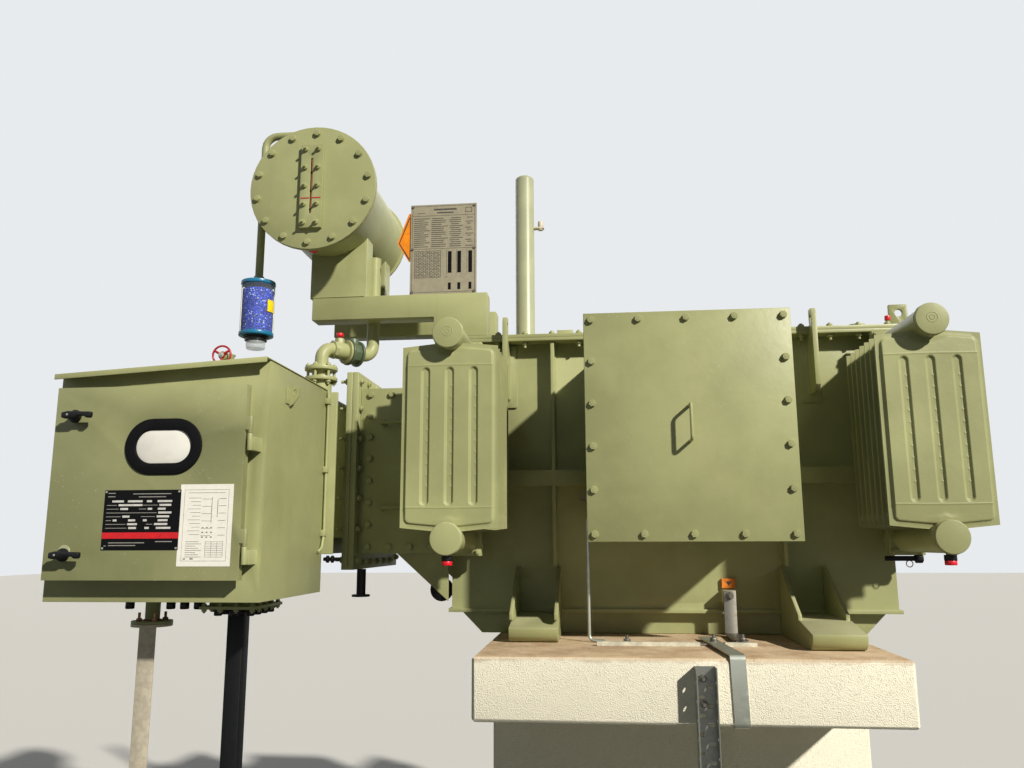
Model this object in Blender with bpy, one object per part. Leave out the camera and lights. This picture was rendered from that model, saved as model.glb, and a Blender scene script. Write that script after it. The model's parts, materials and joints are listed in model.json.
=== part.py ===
"""Oil-filled power transformer with a side-mounted tap changer, on a masonry plinth.

Metres, +Z up. The front, with the bolted cable box, faces -Y. The origin is on the ground
under the middle of the pier, which is also the middle of the tank.
"""

import math

import bmesh
import bpy
from mathutils import Matrix, Vector

# Gap between pieces that touch, and the clearance of a turning pin
GAP = 0.0003
PIN_CLEARANCE = 0.0005

# Plinth
PIER_WIDTH = 1.14
PIER_DEPTH = 0.96
SLAB_WIDTH = 1.15
SLAB_DEPTH = 1.84
SLAB_THICKNESS = 0.17
SLAB_TOP = 1.30
SLAB_CHAMFER = 0.008

# Base frame: two skids along Y and two channels along X
FRAME_HEIGHT = 0.070
SKID_SPACING = 0.864
SKID_WIDTH = 0.150
SKID_NOSE_LEFT = 0.617
SKID_NOSE_RIGHT = 0.763
SKID_NOSE_HEIGHT = 0.045
SKID_NOSE_SLOPE = 0.150
SKID_NOSE_BEND = 0.036
CHANNEL_SPACING = 0.60
CHANNEL_WIDTH = 0.040
CHANNEL_END_INSET = 0.030
GUSSET_THICKNESS = 0.012
GUSSET_HEIGHT = 0.150
GUSSET_TOE = 0.245
GUSSET_TOE_HEIGHT = 0.015

# Tank
TANK_LENGTH = 1.455
TANK_DEPTH = 0.70
TANK_HEIGHT = 0.931
BASE_PLATE_THICKNESS = 0.012
BASE_PLATE_LIP = 0.010
RIM_THICKNESS = 0.012
RIM_LIP = 0.060
COVER_THICKNESS = 0.012
COVER_EYE_INSET = 0.030
COVER_EYE_WIDTH = 0.050
COVER_EYE_HEIGHT = 0.077
COVER_EYE_THICKNESS = 0.012
COVER_EYE_HOLE = 0.020
FILLER_INSET = 0.105
FILLER_BACK = 0.120
FILLER_DIAMETER = 0.060
FILLER_HEIGHT = 0.028
THERMOMETER_X = -0.330
THERMOMETER_SIZE = 0.056
THERMOMETER_HEIGHT = 0.018
STIFFENER_DEPTH = 0.050
STIFFENER_THICKNESS = 0.012
STIFFENER_SPACING = 0.75
BAND_HEIGHT = 0.052
BAND_LEVEL = 0.445

# Lifting lugs on the front and rear walls
LUG_LEFT = -0.535
LUG_RIGHT = 0.500
LUG_THICKNESS = 0.016
LUG_REACH = 0.102
LUG_BOTTOM = 0.717
LUG_RISE = 0.054
LUG_HOLE = 0.022
LUG_PAD_WIDTH = 0.060
LUG_PAD_HEIGHT = 0.220
LUG_PAD_THICKNESS = 0.008

# Cable box on the front and rear walls
BOX_CENTRE = 0.047
BOX_WIDTH = 0.525
BOX_HEIGHT = 0.596
BOX_CENTRE_HEIGHT = 0.573
BOX_REACH = 0.405
BOX_FLANGE_LIP = 0.0445
BOX_FLANGE_THICKNESS = 0.010
BOX_COVER_THICKNESS = 0.008
HANDLE_GRIP = 0.104
HANDLE_STANDOFF = 0.048
HANDLE_ROD = 0.010

# Radiators
RADIATOR_INSET_LEFT = 0.0575
RADIATOR_OVERHANG_RIGHT = 0.0105
PANEL_COUNT = 7
PANEL_PITCH = 0.048
PANEL_WIDTH = 0.296
PANEL_HEIGHT = 0.551
PANEL_SEAM = 0.003
PANEL_FIELD = 0.014
PANEL_BORDER = 0.012
PANEL_SLOPE = 0.007
PANEL_FLUTES = 4
GROOVE_WIDTH = 0.020
GROOVE_DEPTH = 0.005
GROOVE_END = 0.062
PANEL_FACE = 0.410
HEADER_SPACING = 0.617
HEADER_HEIGHT = 0.5495
HEADER_DIAMETER = 0.0889
HEADER_REACH = 0.048
HEADER_CAP_DIAMETER = 0.0945
HEADER_CAP_THICKNESS = 0.010
FLANGE_SIDE = 0.110
FLANGE_THICKNESS = 0.016
FLANGE_REACH = 0.076
DRAIN_PLUG_DIAMETER = 0.024
DRAIN_PLUG_LENGTH = 0.030

# Conservator on two beams over the left end
BEAM_OVERHANG = 0.5095
BEAM_ON_COVER = 0.1255
BEAM_HEIGHT = 0.084
BEAM_DEPTH = 0.075
BEAM_LEVEL = 0.073
BEAM_SPACING = 0.26
BEAM_WALL = 0.008
PEDESTAL_WIDTH = 0.190
CONSERVATOR_OVERHANG = 0.4545
CONSERVATOR_HEIGHT = 0.492
CONSERVATOR_DIAMETER = 0.366
CONSERVATOR_LENGTH = 0.570
CONSERVATOR_LEAD = 0.250
CONSERVATOR_DISH = 0.050
END_PLATE_DIAMETER = 0.445
END_PLATE_THICKNESS = 0.010
SADDLE_WIDTH = 0.206
SADDLE_OVERHANG = 0.4155
SADDLE_THICKNESS = 0.010
GAUGE_WIDTH = 0.078
GAUGE_HEIGHT = 0.303
GAUGE_THICKNESS = 0.016
GAUGE_SLOT = 0.008
GAUGE_SLOT_HEIGHT = 0.200
RATING_PLATE_WIDTH = 0.241
RATING_PLATE_HEIGHT = 0.337
RATING_PLATE_THICKNESS = 0.004
RATING_PLATE_OVERHANG = 0.0335
BREATHER_OFFSET = 0.230
BREATHER_BACK = 0.120
BREATHER_TOP = 0.200
BREATHER_DIAMETER = 0.120
BREATHER_HEIGHT = 0.195
BREATHER_PIPE = 0.028
BREATHER_PIPE_RISE = 0.080
VENT_INSET = 0.2255
VENT_DIAMETER = 0.076
VENT_HEIGHT = 0.770

# Tap changer: an oil tank bolted to a chamber on the left wall
CHAMBER_LENGTH = 0.327
JOINT_HEIGHT = 0.664
JOINT_BOTTOM = 0.143
JOINT_DEPTH = 0.600
JOINT_LEAD = 0.140
JOINT_FLANGE = 0.020
JOINT_NECK_LENGTH = 0.0805
JOINT_NECK_INSET_Y = 0.060
JOINT_NECK_INSET_Z = 0.105
CHAMBER_DEPTH = 0.500
CHAMBER_BOTTOM = 0.195
CHAMBER_HEIGHT = 0.560
CHAMBER_DROP = 0.155
CHAMBER_DROP_LENGTH = 0.175
CHAMBER_PLATE_THICKNESS = 0.012
CHAMBER_PLATE_MARGIN = 0.020
SWITCH_TANK_WIDTH = 0.555
SWITCH_TANK_LEAD = 0.2145
SWITCH_TANK_DEPTH = 0.665
SWITCH_TANK_BOTTOM = 0.195
SWITCH_TANK_HEIGHT = 0.530
MOUNTING_PLATE_THICKNESS = 0.012
MOUNTING_PLATE_SETBACK = 0.0285

# Drive cabinet in front of the oil tank
CABINET_WIDTH = 0.607
CABINET_SETBACK = 0.0635
CABINET_DEPTH = 0.4955
CABINET_BOTTOM = 0.077
CABINET_HEIGHT_RIGHT = 0.652
CABINET_HEIGHT_LEFT = 0.617
CABINET_WALL = 0.004
COAMING_HEIGHT = 0.022
COAMING_WALL = 0.004
ROOF_THICKNESS = 0.003
ROOF_LIP_FRONT = 0.035
ROOF_LIP_SIDE = 0.003
ROOF_DRIP = 0.012
DOOR_MARGIN_LEFT = 0.027
DOOR_MARGIN_RIGHT = 0.040
DOOR_BOTTOM = 0.136
DOOR_HEIGHT = 0.517
DOOR_THICKNESS = 0.030
DOOR_SKIN = 0.003
DOOR_PROUD = 0.055
HINGE_OFFSET = 0.012
HINGE_SETBACK = 0.007
HINGE_DIAMETER = 0.014
HINGE_LENGTH = 0.092
HINGE_HEIGHTS = (0.520, 0.222)
HINGE_LEAF = 0.003
LATCH_INSET = 0.058
LATCH_HEIGHTS = (0.573, 0.202)
LATCH_SPINDLE = 0.016
LATCH_BASE_DIAMETER = 0.036
LATCH_BASE_THICKNESS = 0.008
LATCH_STANDOFF = 0.018
LATCH_LEVER_LENGTH = 0.066
LATCH_LEVER_TAIL = 0.018
LATCH_LEVER_HEIGHT = 0.020
LATCH_LEVER_THICKNESS = 0.014
WINDOW_INSET = 0.316
WINDOW_HEIGHT_AT = 0.487
WINDOW_WIDTH = 0.216
WINDOW_TALL = 0.151
WINDOW_RING = 0.030
WINDOW_RING_PROUD = 0.005
WINDOW_PANE_THICKNESS = 0.004
GLAND_BOX_WIDTH = 0.160
GLAND_BOX_DEPTH = 0.140
GLAND_BOX_HEIGHT = 0.037
GLAND_BOX_INSET = 0.193
GLAND_BOX_BACK = 0.230

# Valve with a handwheel on top of the oil tank
VALVE_INSET = 0.190
VALVE_BACK = 0.0645
VALVE_HEIGHT = 0.140
VALVE_CAP = 0.020
VALVE_FLANGE_DIAMETER = 0.090
VALVE_FLANGE_THICKNESS = 0.010
VALVE_BODY_DIAMETER = 0.040
VALVE_SPINDLE_LENGTH = 0.045
VALVE_SPINDLE_DIAMETER = 0.030
WHEEL_DIAMETER = 0.070
WHEEL_ROD = 0.007
WHEEL_HUB = 0.022
WHEEL_SPOKES = 3

# Drain valve low on the tank's left wall
DRAIN_HEIGHT = 0.071
DRAIN_BACK = 0.060
DRAIN_REACH = 0.045
DRAIN_PIPE_DIAMETER = 0.034
DRAIN_FLANGE_DIAMETER = 0.080
DRAIN_FLANGE_THICKNESS = 0.014
DRAIN_BODY_LENGTH = 0.060

# Pipe from the oil tank to the conservator
PIPE_DIAMETER = 0.048
PIPE_FLANGE_DIAMETER = 0.120
PIPE_FLANGE_THICKNESS = 0.010
PIPE_INSET = 0.037
PIPE_BACK = 0.0945
PIPE_RUN_HEIGHT = 0.160
PIPE_RUN_SLOPE = 0.012
PIPE_RUN_RIGHT = 0.132
PIPE_RUN_BACK = 0.170
RELAY_DIAMETER = 0.095
RELAY_LENGTH = 0.070

# Posts under the cabinet
POST_INSET = 0.1925
POST_BACK = 0.230
POST_SIZE = 0.050
POST_WALL = 0.006
POST_FLANGE_DIAMETER = 0.115
POST_FLANGE_THICKNESS = 0.008
POST_STUB_DIAMETER = 0.042
POST_STUB_LENGTH = 0.075
REAR_POST_INSET = 0.216
REAR_POST_BACK = 0.380
REAR_POST_SIZE = 0.050

# Earthing
STRAP_X = 0.128
STRAP_WIDTH = 0.045
STRAP_THICKNESS = 0.004
EARTH_BAR_LEFT = -0.200
EARTH_BAR_RIGHT = 0.227
EARTH_BAR_LEAD = 0.280
EARTH_BAR_WIDTH = 0.040
EARTH_BAR_THICKNESS = 0.006
EARTH_PAD_X = 0.188
EARTH_PAD_HEIGHT = 0.140
ROD_OUT = 0.0465
ROD_LEAD = 0.220
ROD_DIAMETER = 0.010
ROD_DROP = 0.035
ROD_FOOT = (0.045, 0.020)
RACK_X = 0.042
RACK_DROP = 0.019
RACK_WIDTH = 0.054
RACK_DEPTH = 0.045
RACK_WALL = 0.003

# Levels and planes worked out from the sizes above
SLAB_BOTTOM = SLAB_TOP - SLAB_THICKNESS
FRAME_BOTTOM = SLAB_TOP + GAP
BASE = SLAB_TOP + FRAME_HEIGHT
TANK_FRONT = -TANK_DEPTH / 2
TANK_LEFT = -TANK_LENGTH / 2
RIM_TOP = BASE + TANK_HEIGHT
WALL_TOP = RIM_TOP - RIM_THICKNESS - GAP
COVER_BOTTOM = RIM_TOP + GAP
COVER_TOP = COVER_BOTTOM + COVER_THICKNESS
BEAM_BOTTOM = COVER_TOP + BEAM_LEVEL
BEAM_TOP = BEAM_BOTTOM + BEAM_HEIGHT
CONSERVATOR_Z = COVER_TOP + CONSERVATOR_HEIGHT

# Places that follow the tank's left front corner
RADIATOR_LEFT = TANK_LEFT + RADIATOR_INSET_LEFT
RADIATOR_RIGHT = TANK_LENGTH / 2 + RADIATOR_OVERHANG_RIGHT
BEAM_LEFT = TANK_LEFT - BEAM_OVERHANG
BEAM_RIGHT = TANK_LEFT + BEAM_ON_COVER
CONSERVATOR_X = TANK_LEFT - CONSERVATOR_OVERHANG
CONSERVATOR_FRONT = TANK_FRONT - CONSERVATOR_LEAD
SADDLE_CENTRE = TANK_LEFT - SADDLE_OVERHANG
RATING_PLATE_CENTRE = TANK_LEFT - RATING_PLATE_OVERHANG
BREATHER_X = CONSERVATOR_X - BREATHER_OFFSET
BREATHER_Y = CONSERVATOR_FRONT + BREATHER_BACK
VENT_X = TANK_LEFT + VENT_INSET
JOINT_FACE = TANK_LEFT - CHAMBER_LENGTH
JOINT_FRONT = TANK_FRONT - JOINT_LEAD
SWITCH_TANK_RIGHT = JOINT_FACE - JOINT_NECK_LENGTH
SWITCH_TANK_LEFT = SWITCH_TANK_RIGHT - SWITCH_TANK_WIDTH
SWITCH_TANK_FRONT = TANK_FRONT - SWITCH_TANK_LEAD
SWITCH_TANK_TOP = BASE + SWITCH_TANK_BOTTOM + SWITCH_TANK_HEIGHT
MOUNTING_PLATE_RIGHT = JOINT_FACE - MOUNTING_PLATE_SETBACK
CABINET_RIGHT = JOINT_FACE - CABINET_SETBACK
CABINET_LEFT = CABINET_RIGHT - CABINET_WIDTH
CABINET_FRONT = SWITCH_TANK_FRONT - CABINET_DEPTH
DOOR_LEFT = CABINET_LEFT + DOOR_MARGIN_LEFT
DOOR_RIGHT = CABINET_RIGHT - DOOR_MARGIN_RIGHT
DOOR_FACE = CABINET_FRONT - DOOR_PROUD
DOOR_BACK = DOOR_FACE + DOOR_THICKNESS
HINGE_X = DOOR_RIGHT + HINGE_OFFSET
HINGE_Y = DOOR_FACE + HINGE_SETBACK
LATCH_X = DOOR_LEFT + LATCH_INSET
WINDOW_X = DOOR_LEFT + WINDOW_INSET
VALVE_X = SWITCH_TANK_LEFT + VALVE_INSET
VALVE_Y = SWITCH_TANK_FRONT + VALVE_BACK
PIPE_X = SWITCH_TANK_RIGHT - PIPE_INSET
PIPE_Y = SWITCH_TANK_FRONT + PIPE_BACK
PIPE_RISE_X = PIPE_X + PIPE_RUN_RIGHT
PIPE_RISE_Y = PIPE_Y + PIPE_RUN_BACK
POST_X = CABINET_LEFT + POST_INSET
POST_Y = CABINET_FRONT + POST_BACK
REAR_POST_X = CABINET_RIGHT - REAR_POST_INSET
REAR_POST_Y = CABINET_FRONT + REAR_POST_BACK
EARTH_BAR_Y = TANK_FRONT - EARTH_BAR_LEAD
ROD_X = BOX_CENTRE - BOX_WIDTH / 2 - ROD_OUT
ROD_Y = TANK_FRONT - ROD_LEAD


def material(name, colour, roughness, metallic=0.0):
    made = bpy.data.materials.new(name)
    made.use_nodes = True
    shader = made.node_tree.nodes["Principled BSDF"]
    shader.inputs["Base Color"].default_value = (*colour, 1.0)
    shader.inputs["Roughness"].default_value = roughness
    shader.inputs["Metallic"].default_value = metallic
    return made


def clear_scene():
    for item in list(bpy.data.objects):
        bpy.data.objects.remove(item)


def helper_collection():
    made = bpy.data.collections.new("cutters_and_joined_shapes")
    bpy.context.scene.collection.children.link(made)
    return made


# Shapes: each returns a bmesh with its faces pointing out

def box(low, high):
    shape = bmesh.new()
    size = [b - a for a, b in zip(low, high)]
    middle = [(a + b) / 2 for a, b in zip(low, high)]
    bmesh.ops.create_cube(shape, size=1.0, matrix=Matrix.LocRotScale(middle, None, size))
    return shape


def extruded(outline, plane, start, end):
    """A flat outline pushed along the axis that its plane lacks, from start to end."""
    places = {
        "yz": lambda a, b, c: (c, a, b),
        "xz": lambda a, b, c: (a, c, b),
        "xy": lambda a, b, c: (a, b, c),
    }[plane]
    shape = bmesh.new()
    face = shape.faces.new([shape.verts.new(places(a, b, start)) for a, b in outline])
    pushed = bmesh.ops.extrude_face_region(shape, geom=[face])
    moved = [v for v in pushed["geom"] if isinstance(v, bmesh.types.BMVert)]
    travel = Vector(places(0, 0, end)) - Vector(places(0, 0, start))
    bmesh.ops.translate(shape, vec=travel, verts=moved)
    bmesh.ops.recalc_face_normals(shape, faces=shape.faces)
    return shape


def turned(profile, centre, axis, sides=24):
    """A profile of (radius, distance along the axis) points, revolved round the axis."""
    shape = bmesh.new()
    rings = []
    for radius, along in profile:
        if radius == 0:
            rings.append([shape.verts.new((0, 0, along))])
            continue
        angles = (2 * math.pi * i / sides for i in range(sides))
        rings.append([shape.verts.new((radius * math.cos(a), radius * math.sin(a), along))
                      for a in angles])
    for low, high in zip(rings, rings[1:]):
        for i in range(sides):
            j = (i + 1) % sides
            if len(low) == 1:
                shape.faces.new((low[0], high[j], high[i]))
            elif len(high) == 1:
                shape.faces.new((low[i], low[j], high[0]))
            else:
                shape.faces.new((low[i], low[j], high[j], high[i]))
    for ring in (rings[0], rings[-1]):
        if len(ring) > 1:
            shape.faces.new(ring)
    turn = Vector((0, 0, 1)).rotation_difference(Vector(axis)).to_matrix().to_4x4()
    bmesh.ops.transform(shape, matrix=Matrix.Translation(centre) @ turn, verts=shape.verts)
    bmesh.ops.recalc_face_normals(shape, faces=shape.faces)
    return shape


def cylinder(start, end, diameter, sides=24):
    run = Vector(end) - Vector(start)
    profile = [(diameter / 2, 0.0), (diameter / 2, run.length)]
    return turned(profile, start, run, sides)


def rounded_path(corners, bend, steps=5):
    """The corners of a pipe run, with an arc of the bend radius at each inner corner."""
    points = [Vector(corners[0])]
    for before, corner, after in zip(corners, corners[1:], corners[2:]):
        corner = Vector(corner)
        back = (Vector(before) - corner).normalized()
        on = (Vector(after) - corner).normalized()
        half = back.angle(on) / 2
        reach = bend / math.tan(half)
        centre = corner + (back + on).normalized() * bend / math.sin(half)
        first = corner + back * reach - centre
        last = corner + on * reach - centre
        sweep = first.rotation_difference(last)
        for i in range(steps + 1):
            part = Matrix.Rotation(sweep.angle * i / steps, 3, sweep.axis)
            points.append(centre + part @ first)
    points.append(Vector(corners[-1]))
    return points


def swept(points, diameter, sides=12):
    """A round bar along the points."""
    shape = bmesh.new()
    rings = []
    tangent = (points[1] - points[0]).normalized()
    side = tangent.orthogonal().normalized()
    for i, point in enumerate(points):
        ahead = points[min(i + 1, len(points) - 1)] - points[max(i - 1, 0)]
        turn = tangent.rotation_difference(ahead.normalized())
        tangent = ahead.normalized()
        side = turn @ side
        other = tangent.cross(side)
        angles = (2 * math.pi * k / sides for k in range(sides))
        rings.append([shape.verts.new(point + (side * math.cos(a) + other * math.sin(a))
                                      * diameter / 2) for a in angles])
    for low, high in zip(rings, rings[1:]):
        for i in range(sides):
            j = (i + 1) % sides
            shape.faces.new((low[i], low[j], high[j], high[i]))
    shape.faces.new(rings[0])
    shape.faces.new(rings[-1])
    bmesh.ops.recalc_face_normals(shape, faces=shape.faces)
    return shape


def oval(width, height, centre, steps=8):
    """A slot-shaped outline with round ends."""
    radius = height / 2
    reach = width / 2 - radius
    outline = []
    for end in (1, -1):
        for i in range(steps + 1):
            angle = -end * math.pi / 2 + end * math.pi * i / steps
            angle = angle if end == 1 else math.pi / 2 + math.pi * i / steps
            outline.append((centre[0] + end * reach + radius * math.cos(angle),
                            centre[1] + radius * math.sin(angle)))
    return outline


def object_from(shape, name, collection):
    mesh = bpy.data.meshes.new(name)
    shape.to_mesh(mesh)
    shape.free()
    made = bpy.data.objects.new(name, mesh)
    collection.objects.link(made)
    return made


def node(name, finish, shapes, cuts=(), pivot=None, sharp=40.0):
    """One solid: its shapes joined, less its cuts. The pivot is where its joint turns."""
    made = object_from(shapes[0], name, bpy.context.scene.collection)
    for word, pieces, operation in (("joined", shapes[1:], "UNION"), ("cuts", cuts, "DIFFERENCE")):
        if not pieces:
            continue
        group = bpy.data.collections.new(f"{name}_{word}")
        HELPERS.children.link(group)
        for i, piece in enumerate(pieces):
            helper = object_from(piece, f"{name}_{word}_{i}", group)
            helper.hide_render = True
            helper.display_type = "WIRE"
        modifier = made.modifiers.new(word, "BOOLEAN")
        modifier.operation = operation
        modifier.operand_type = "COLLECTION"
        modifier.collection = group
        modifier.solver = "EXACT"
    made.data.materials.append(finish)
    made.data.shade_smooth()
    made.data.set_sharp_from_angle(angle=math.radians(sharp))
    if pivot is not None:
        made.data.transform(Matrix.Translation(-Vector(pivot)))
        made.location = pivot
    return made


def chamfered(shape, width):
    bmesh.ops.bevel(shape, geom=list(shape.edges), offset=width, segments=1,
                    affect="EDGES", profile=0.5)
    return shape


# Plinth

def make_plinth():
    low = (-PIER_WIDTH / 2, -PIER_DEPTH / 2, 0)
    high = (PIER_WIDTH / 2, PIER_DEPTH / 2, SLAB_BOTTOM - GAP)
    node("plinth_pier", PLASTER, [box(low, high)])
    low = (-SLAB_WIDTH / 2, -SLAB_DEPTH / 2, SLAB_BOTTOM)
    high = (SLAB_WIDTH / 2, SLAB_DEPTH / 2, SLAB_TOP)
    node("plinth_slab", PLASTER, [chamfered(box(low, high), SLAB_CHAMFER)])


# Base frame

def skid(centre, nose):
    """A runner with sloping noses that curl up from the slab, along Y."""
    tail = SKID_NOSE_LEFT
    top = BASE - GAP
    steps = [math.pi / 8 * i for i in range(5)]
    curl = [(SKID_NOSE_BEND * (1 - math.cos(turn)),
             FRAME_BOTTOM + SKID_NOSE_BEND * (1 - math.sin(turn))) for turn in steps]
    outline = [(-nose + inward, z) for inward, z in curl]
    outline += [(tail - inward, z) for inward, z in reversed(curl)]
    outline += [
        (tail, FRAME_BOTTOM + SKID_NOSE_HEIGHT), (tail - SKID_NOSE_SLOPE, top),
        (-nose + SKID_NOSE_SLOPE, top), (-nose, FRAME_BOTTOM + SKID_NOSE_HEIGHT),
    ]
    half = SKID_WIDTH / 2
    return extruded(outline, "yz", centre - half, centre + half)


def gusset(x, end):
    """A triangular plate from a skid up the tank's wall; end is -1 at the front."""
    wall = TANK_DEPTH / 2 + GAP
    lip = wall + BASE_PLATE_LIP
    foot = BASE - 2 * GAP - 0.004
    step = BASE + BASE_PLATE_THICKNESS + GAP
    toe = wall + GUSSET_TOE
    outline = [
        (end * lip, foot), (end * toe, foot), (end * toe, BASE + GUSSET_TOE_HEIGHT),
        (end * (wall + GUSSET_TOE_HEIGHT), BASE + GUSSET_HEIGHT),
        (end * wall, BASE + GUSSET_HEIGHT), (end * wall, step), (end * lip, step),
    ]
    half = GUSSET_THICKNESS / 2
    return extruded(outline, "yz", x - half, x + half)


def base_channel(y):
    """A channel under the tank, with its ends cut at 45 degrees."""
    reach = TANK_LENGTH / 2 - CHANNEL_END_INSET
    top = BASE - GAP
    rise = top - FRAME_BOTTOM
    outline = [
        (-reach + rise, FRAME_BOTTOM), (reach - rise, FRAME_BOTTOM),
        (reach, top), (-reach, top),
    ]
    return extruded(outline, "xz", y - CHANNEL_WIDTH / 2, y + CHANNEL_WIDTH / 2)


def make_base_frame():
    inset = (SKID_WIDTH - GUSSET_THICKNESS) / 2
    shapes = []
    for side, nose in ((-1, SKID_NOSE_LEFT), (1, SKID_NOSE_RIGHT)):
        centre = side * SKID_SPACING / 2
        shapes.append(skid(centre, nose))
        for x in (centre - inset, centre + inset):
            shapes += [gusset(x, -1), gusset(x, 1)]
    shapes += [base_channel(y) for y in (-CHANNEL_SPACING / 2, CHANNEL_SPACING / 2)]
    node("base_frame", PAINT, shapes)


# Tank

def radiator_places():
    """(name, centre x, end) of each radiator; end is -1 at the front."""
    for end, word in ((-1, "front"), (1, "rear")):
        yield f"radiator_{word}_left", RADIATOR_LEFT, end
        yield f"radiator_{word}_right", RADIATOR_RIGHT, end


def header_heights():
    middle = BASE + HEADER_HEIGHT
    return middle - HEADER_SPACING / 2, middle + HEADER_SPACING / 2


def square_flange(x, z, near, far):
    half = FLANGE_SIDE / 2
    return box((x - half, min(near, far), z - half), (x + half, max(near, far), z + half))


def lifting_lug(x, end):
    """An upright plate on the wall that rises past the cover's edge, with an eye."""
    wall = TANK_DEPTH / 2 - BASE_PLATE_LIP
    clear = TANK_DEPTH / 2 + RIM_LIP + GAP
    reach = TANK_DEPTH / 2 + LUG_REACH
    top = COVER_TOP + LUG_RISE
    round_off = (reach - clear) / 2
    outline = [
        (end * wall, BASE + LUG_BOTTOM), (end * (reach - round_off), BASE + LUG_BOTTOM),
        (end * reach, BASE + LUG_BOTTOM + round_off), (end * reach, top - round_off),
        (end * (reach - round_off / 2), top), (end * clear, top),
        (end * clear, WALL_TOP), (end * wall, WALL_TOP),
    ]
    half = LUG_THICKNESS / 2
    return extruded(outline, "yz", x - half, x + half)


def lug_eye(x, end):
    y = end * (TANK_DEPTH / 2 + RIM_LIP + (LUG_REACH - RIM_LIP) / 2)
    z = COVER_TOP + LUG_RISE / 2
    return cylinder((x - LUG_THICKNESS, y, z), (x + LUG_THICKNESS, y, z), LUG_HOLE, 16)


def lug_pad(x, end):
    wall = TANK_DEPTH / 2
    half = LUG_PAD_WIDTH / 2
    bottom = BASE + LUG_BOTTOM - LUG_PAD_THICKNESS * 3
    low, high = sorted((end * (wall - BASE_PLATE_LIP), end * (wall + LUG_PAD_THICKNESS)))
    return box((x - half, low, bottom), (x + half, high, bottom + LUG_PAD_HEIGHT))


def upright(x, end):
    wall, face = TANK_DEPTH / 2 - BASE_PLATE_LIP, TANK_DEPTH / 2 + STIFFENER_DEPTH
    low, high = sorted((end * wall, end * face))
    half = STIFFENER_THICKNESS / 2
    bottom = BASE + GUSSET_HEIGHT + STIFFENER_DEPTH * 0.04
    return box((x - half, low, bottom), (x + half, high, WALL_TOP))


def wall_band():
    """Two bars along the front and rear walls at mid height, and one across the right wall."""
    low, high = BASE + BAND_LEVEL - BAND_HEIGHT / 2, BASE + BAND_LEVEL + BAND_HEIGHT / 2
    length, depth = TANK_LENGTH / 2, TANK_DEPTH / 2
    face = depth + STIFFENER_DEPTH
    inner = length - STIFFENER_DEPTH
    return [
        box((-length, -face, low), (length, -depth + BASE_PLATE_LIP, high)),
        box((-length, depth - BASE_PLATE_LIP, low), (length, face, high)),
        box((inner, -face, low), (length + STIFFENER_DEPTH, face, high)),
    ]


def make_tank():
    length, depth = TANK_LENGTH / 2, TANK_DEPTH / 2
    floor = BASE + BASE_PLATE_THICKNESS / 2
    shapes = [box((-length, -depth, floor), (length, depth, WALL_TOP))]
    reach = BASE_PLATE_LIP
    shapes.append(box((-length - reach, -depth - reach, BASE),
                      (length + reach, depth + reach, BASE + BASE_PLATE_THICKNESS)))
    shapes += wall_band()
    cuts = []
    for end in (-1, 1):
        for x in (-STIFFENER_SPACING / 2, STIFFENER_SPACING / 2):
            shapes.append(upright(x, end))
        for x in (LUG_LEFT, LUG_RIGHT):
            shapes += [lifting_lug(x, end), lug_pad(x, end)]
            cuts.append(lug_eye(x, end))
        cuts.append(box_seat(end))
    cuts.append(chamber_seat())
    shapes.append(earth_pad())
    node("tank", PAINT, shapes, cuts)
    length, depth = length + RIM_LIP, depth + RIM_LIP
    node("tank_rim", PAINT,
         [box((-length, -depth, WALL_TOP + GAP), (length, depth, RIM_TOP))])


def box_seat(end):
    """Where the cable box's walls pass the wall band."""
    half_width, half_height = BOX_WIDTH / 2 + GAP, BOX_HEIGHT / 2 + GAP
    middle = BASE + BOX_CENTRE_HEIGHT
    low, high = sorted((end * TANK_DEPTH / 2, end * (TANK_DEPTH / 2 + BOX_REACH)))
    return box((BOX_CENTRE - half_width, low, middle - half_height),
               (BOX_CENTRE + half_width, high, middle + half_height))


def chamber_span():
    """Lowest and highest y of the tap changer's chamber."""
    front = JOINT_FRONT + (JOINT_DEPTH - CHAMBER_DEPTH) / 2
    return front, front + CHAMBER_DEPTH


def chamber_seat():
    front, back = chamber_span()
    return box((-TANK_LENGTH / 2 - 2 * RIM_LIP, front - GAP, BASE + CHAMBER_BOTTOM - GAP),
               (-TANK_LENGTH / 2, back + GAP, BASE + CHAMBER_BOTTOM + CHAMBER_HEIGHT + GAP))


def earth_pad():
    half = EARTH_BAR_WIDTH / 2
    bottom = BASE + EARTH_PAD_HEIGHT / 4
    return box((EARTH_PAD_X - half, TANK_FRONT - STIFFENER_DEPTH, bottom),
               (EARTH_PAD_X + half, TANK_FRONT + BASE_PLATE_LIP, bottom + EARTH_BAR_WIDTH))


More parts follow.
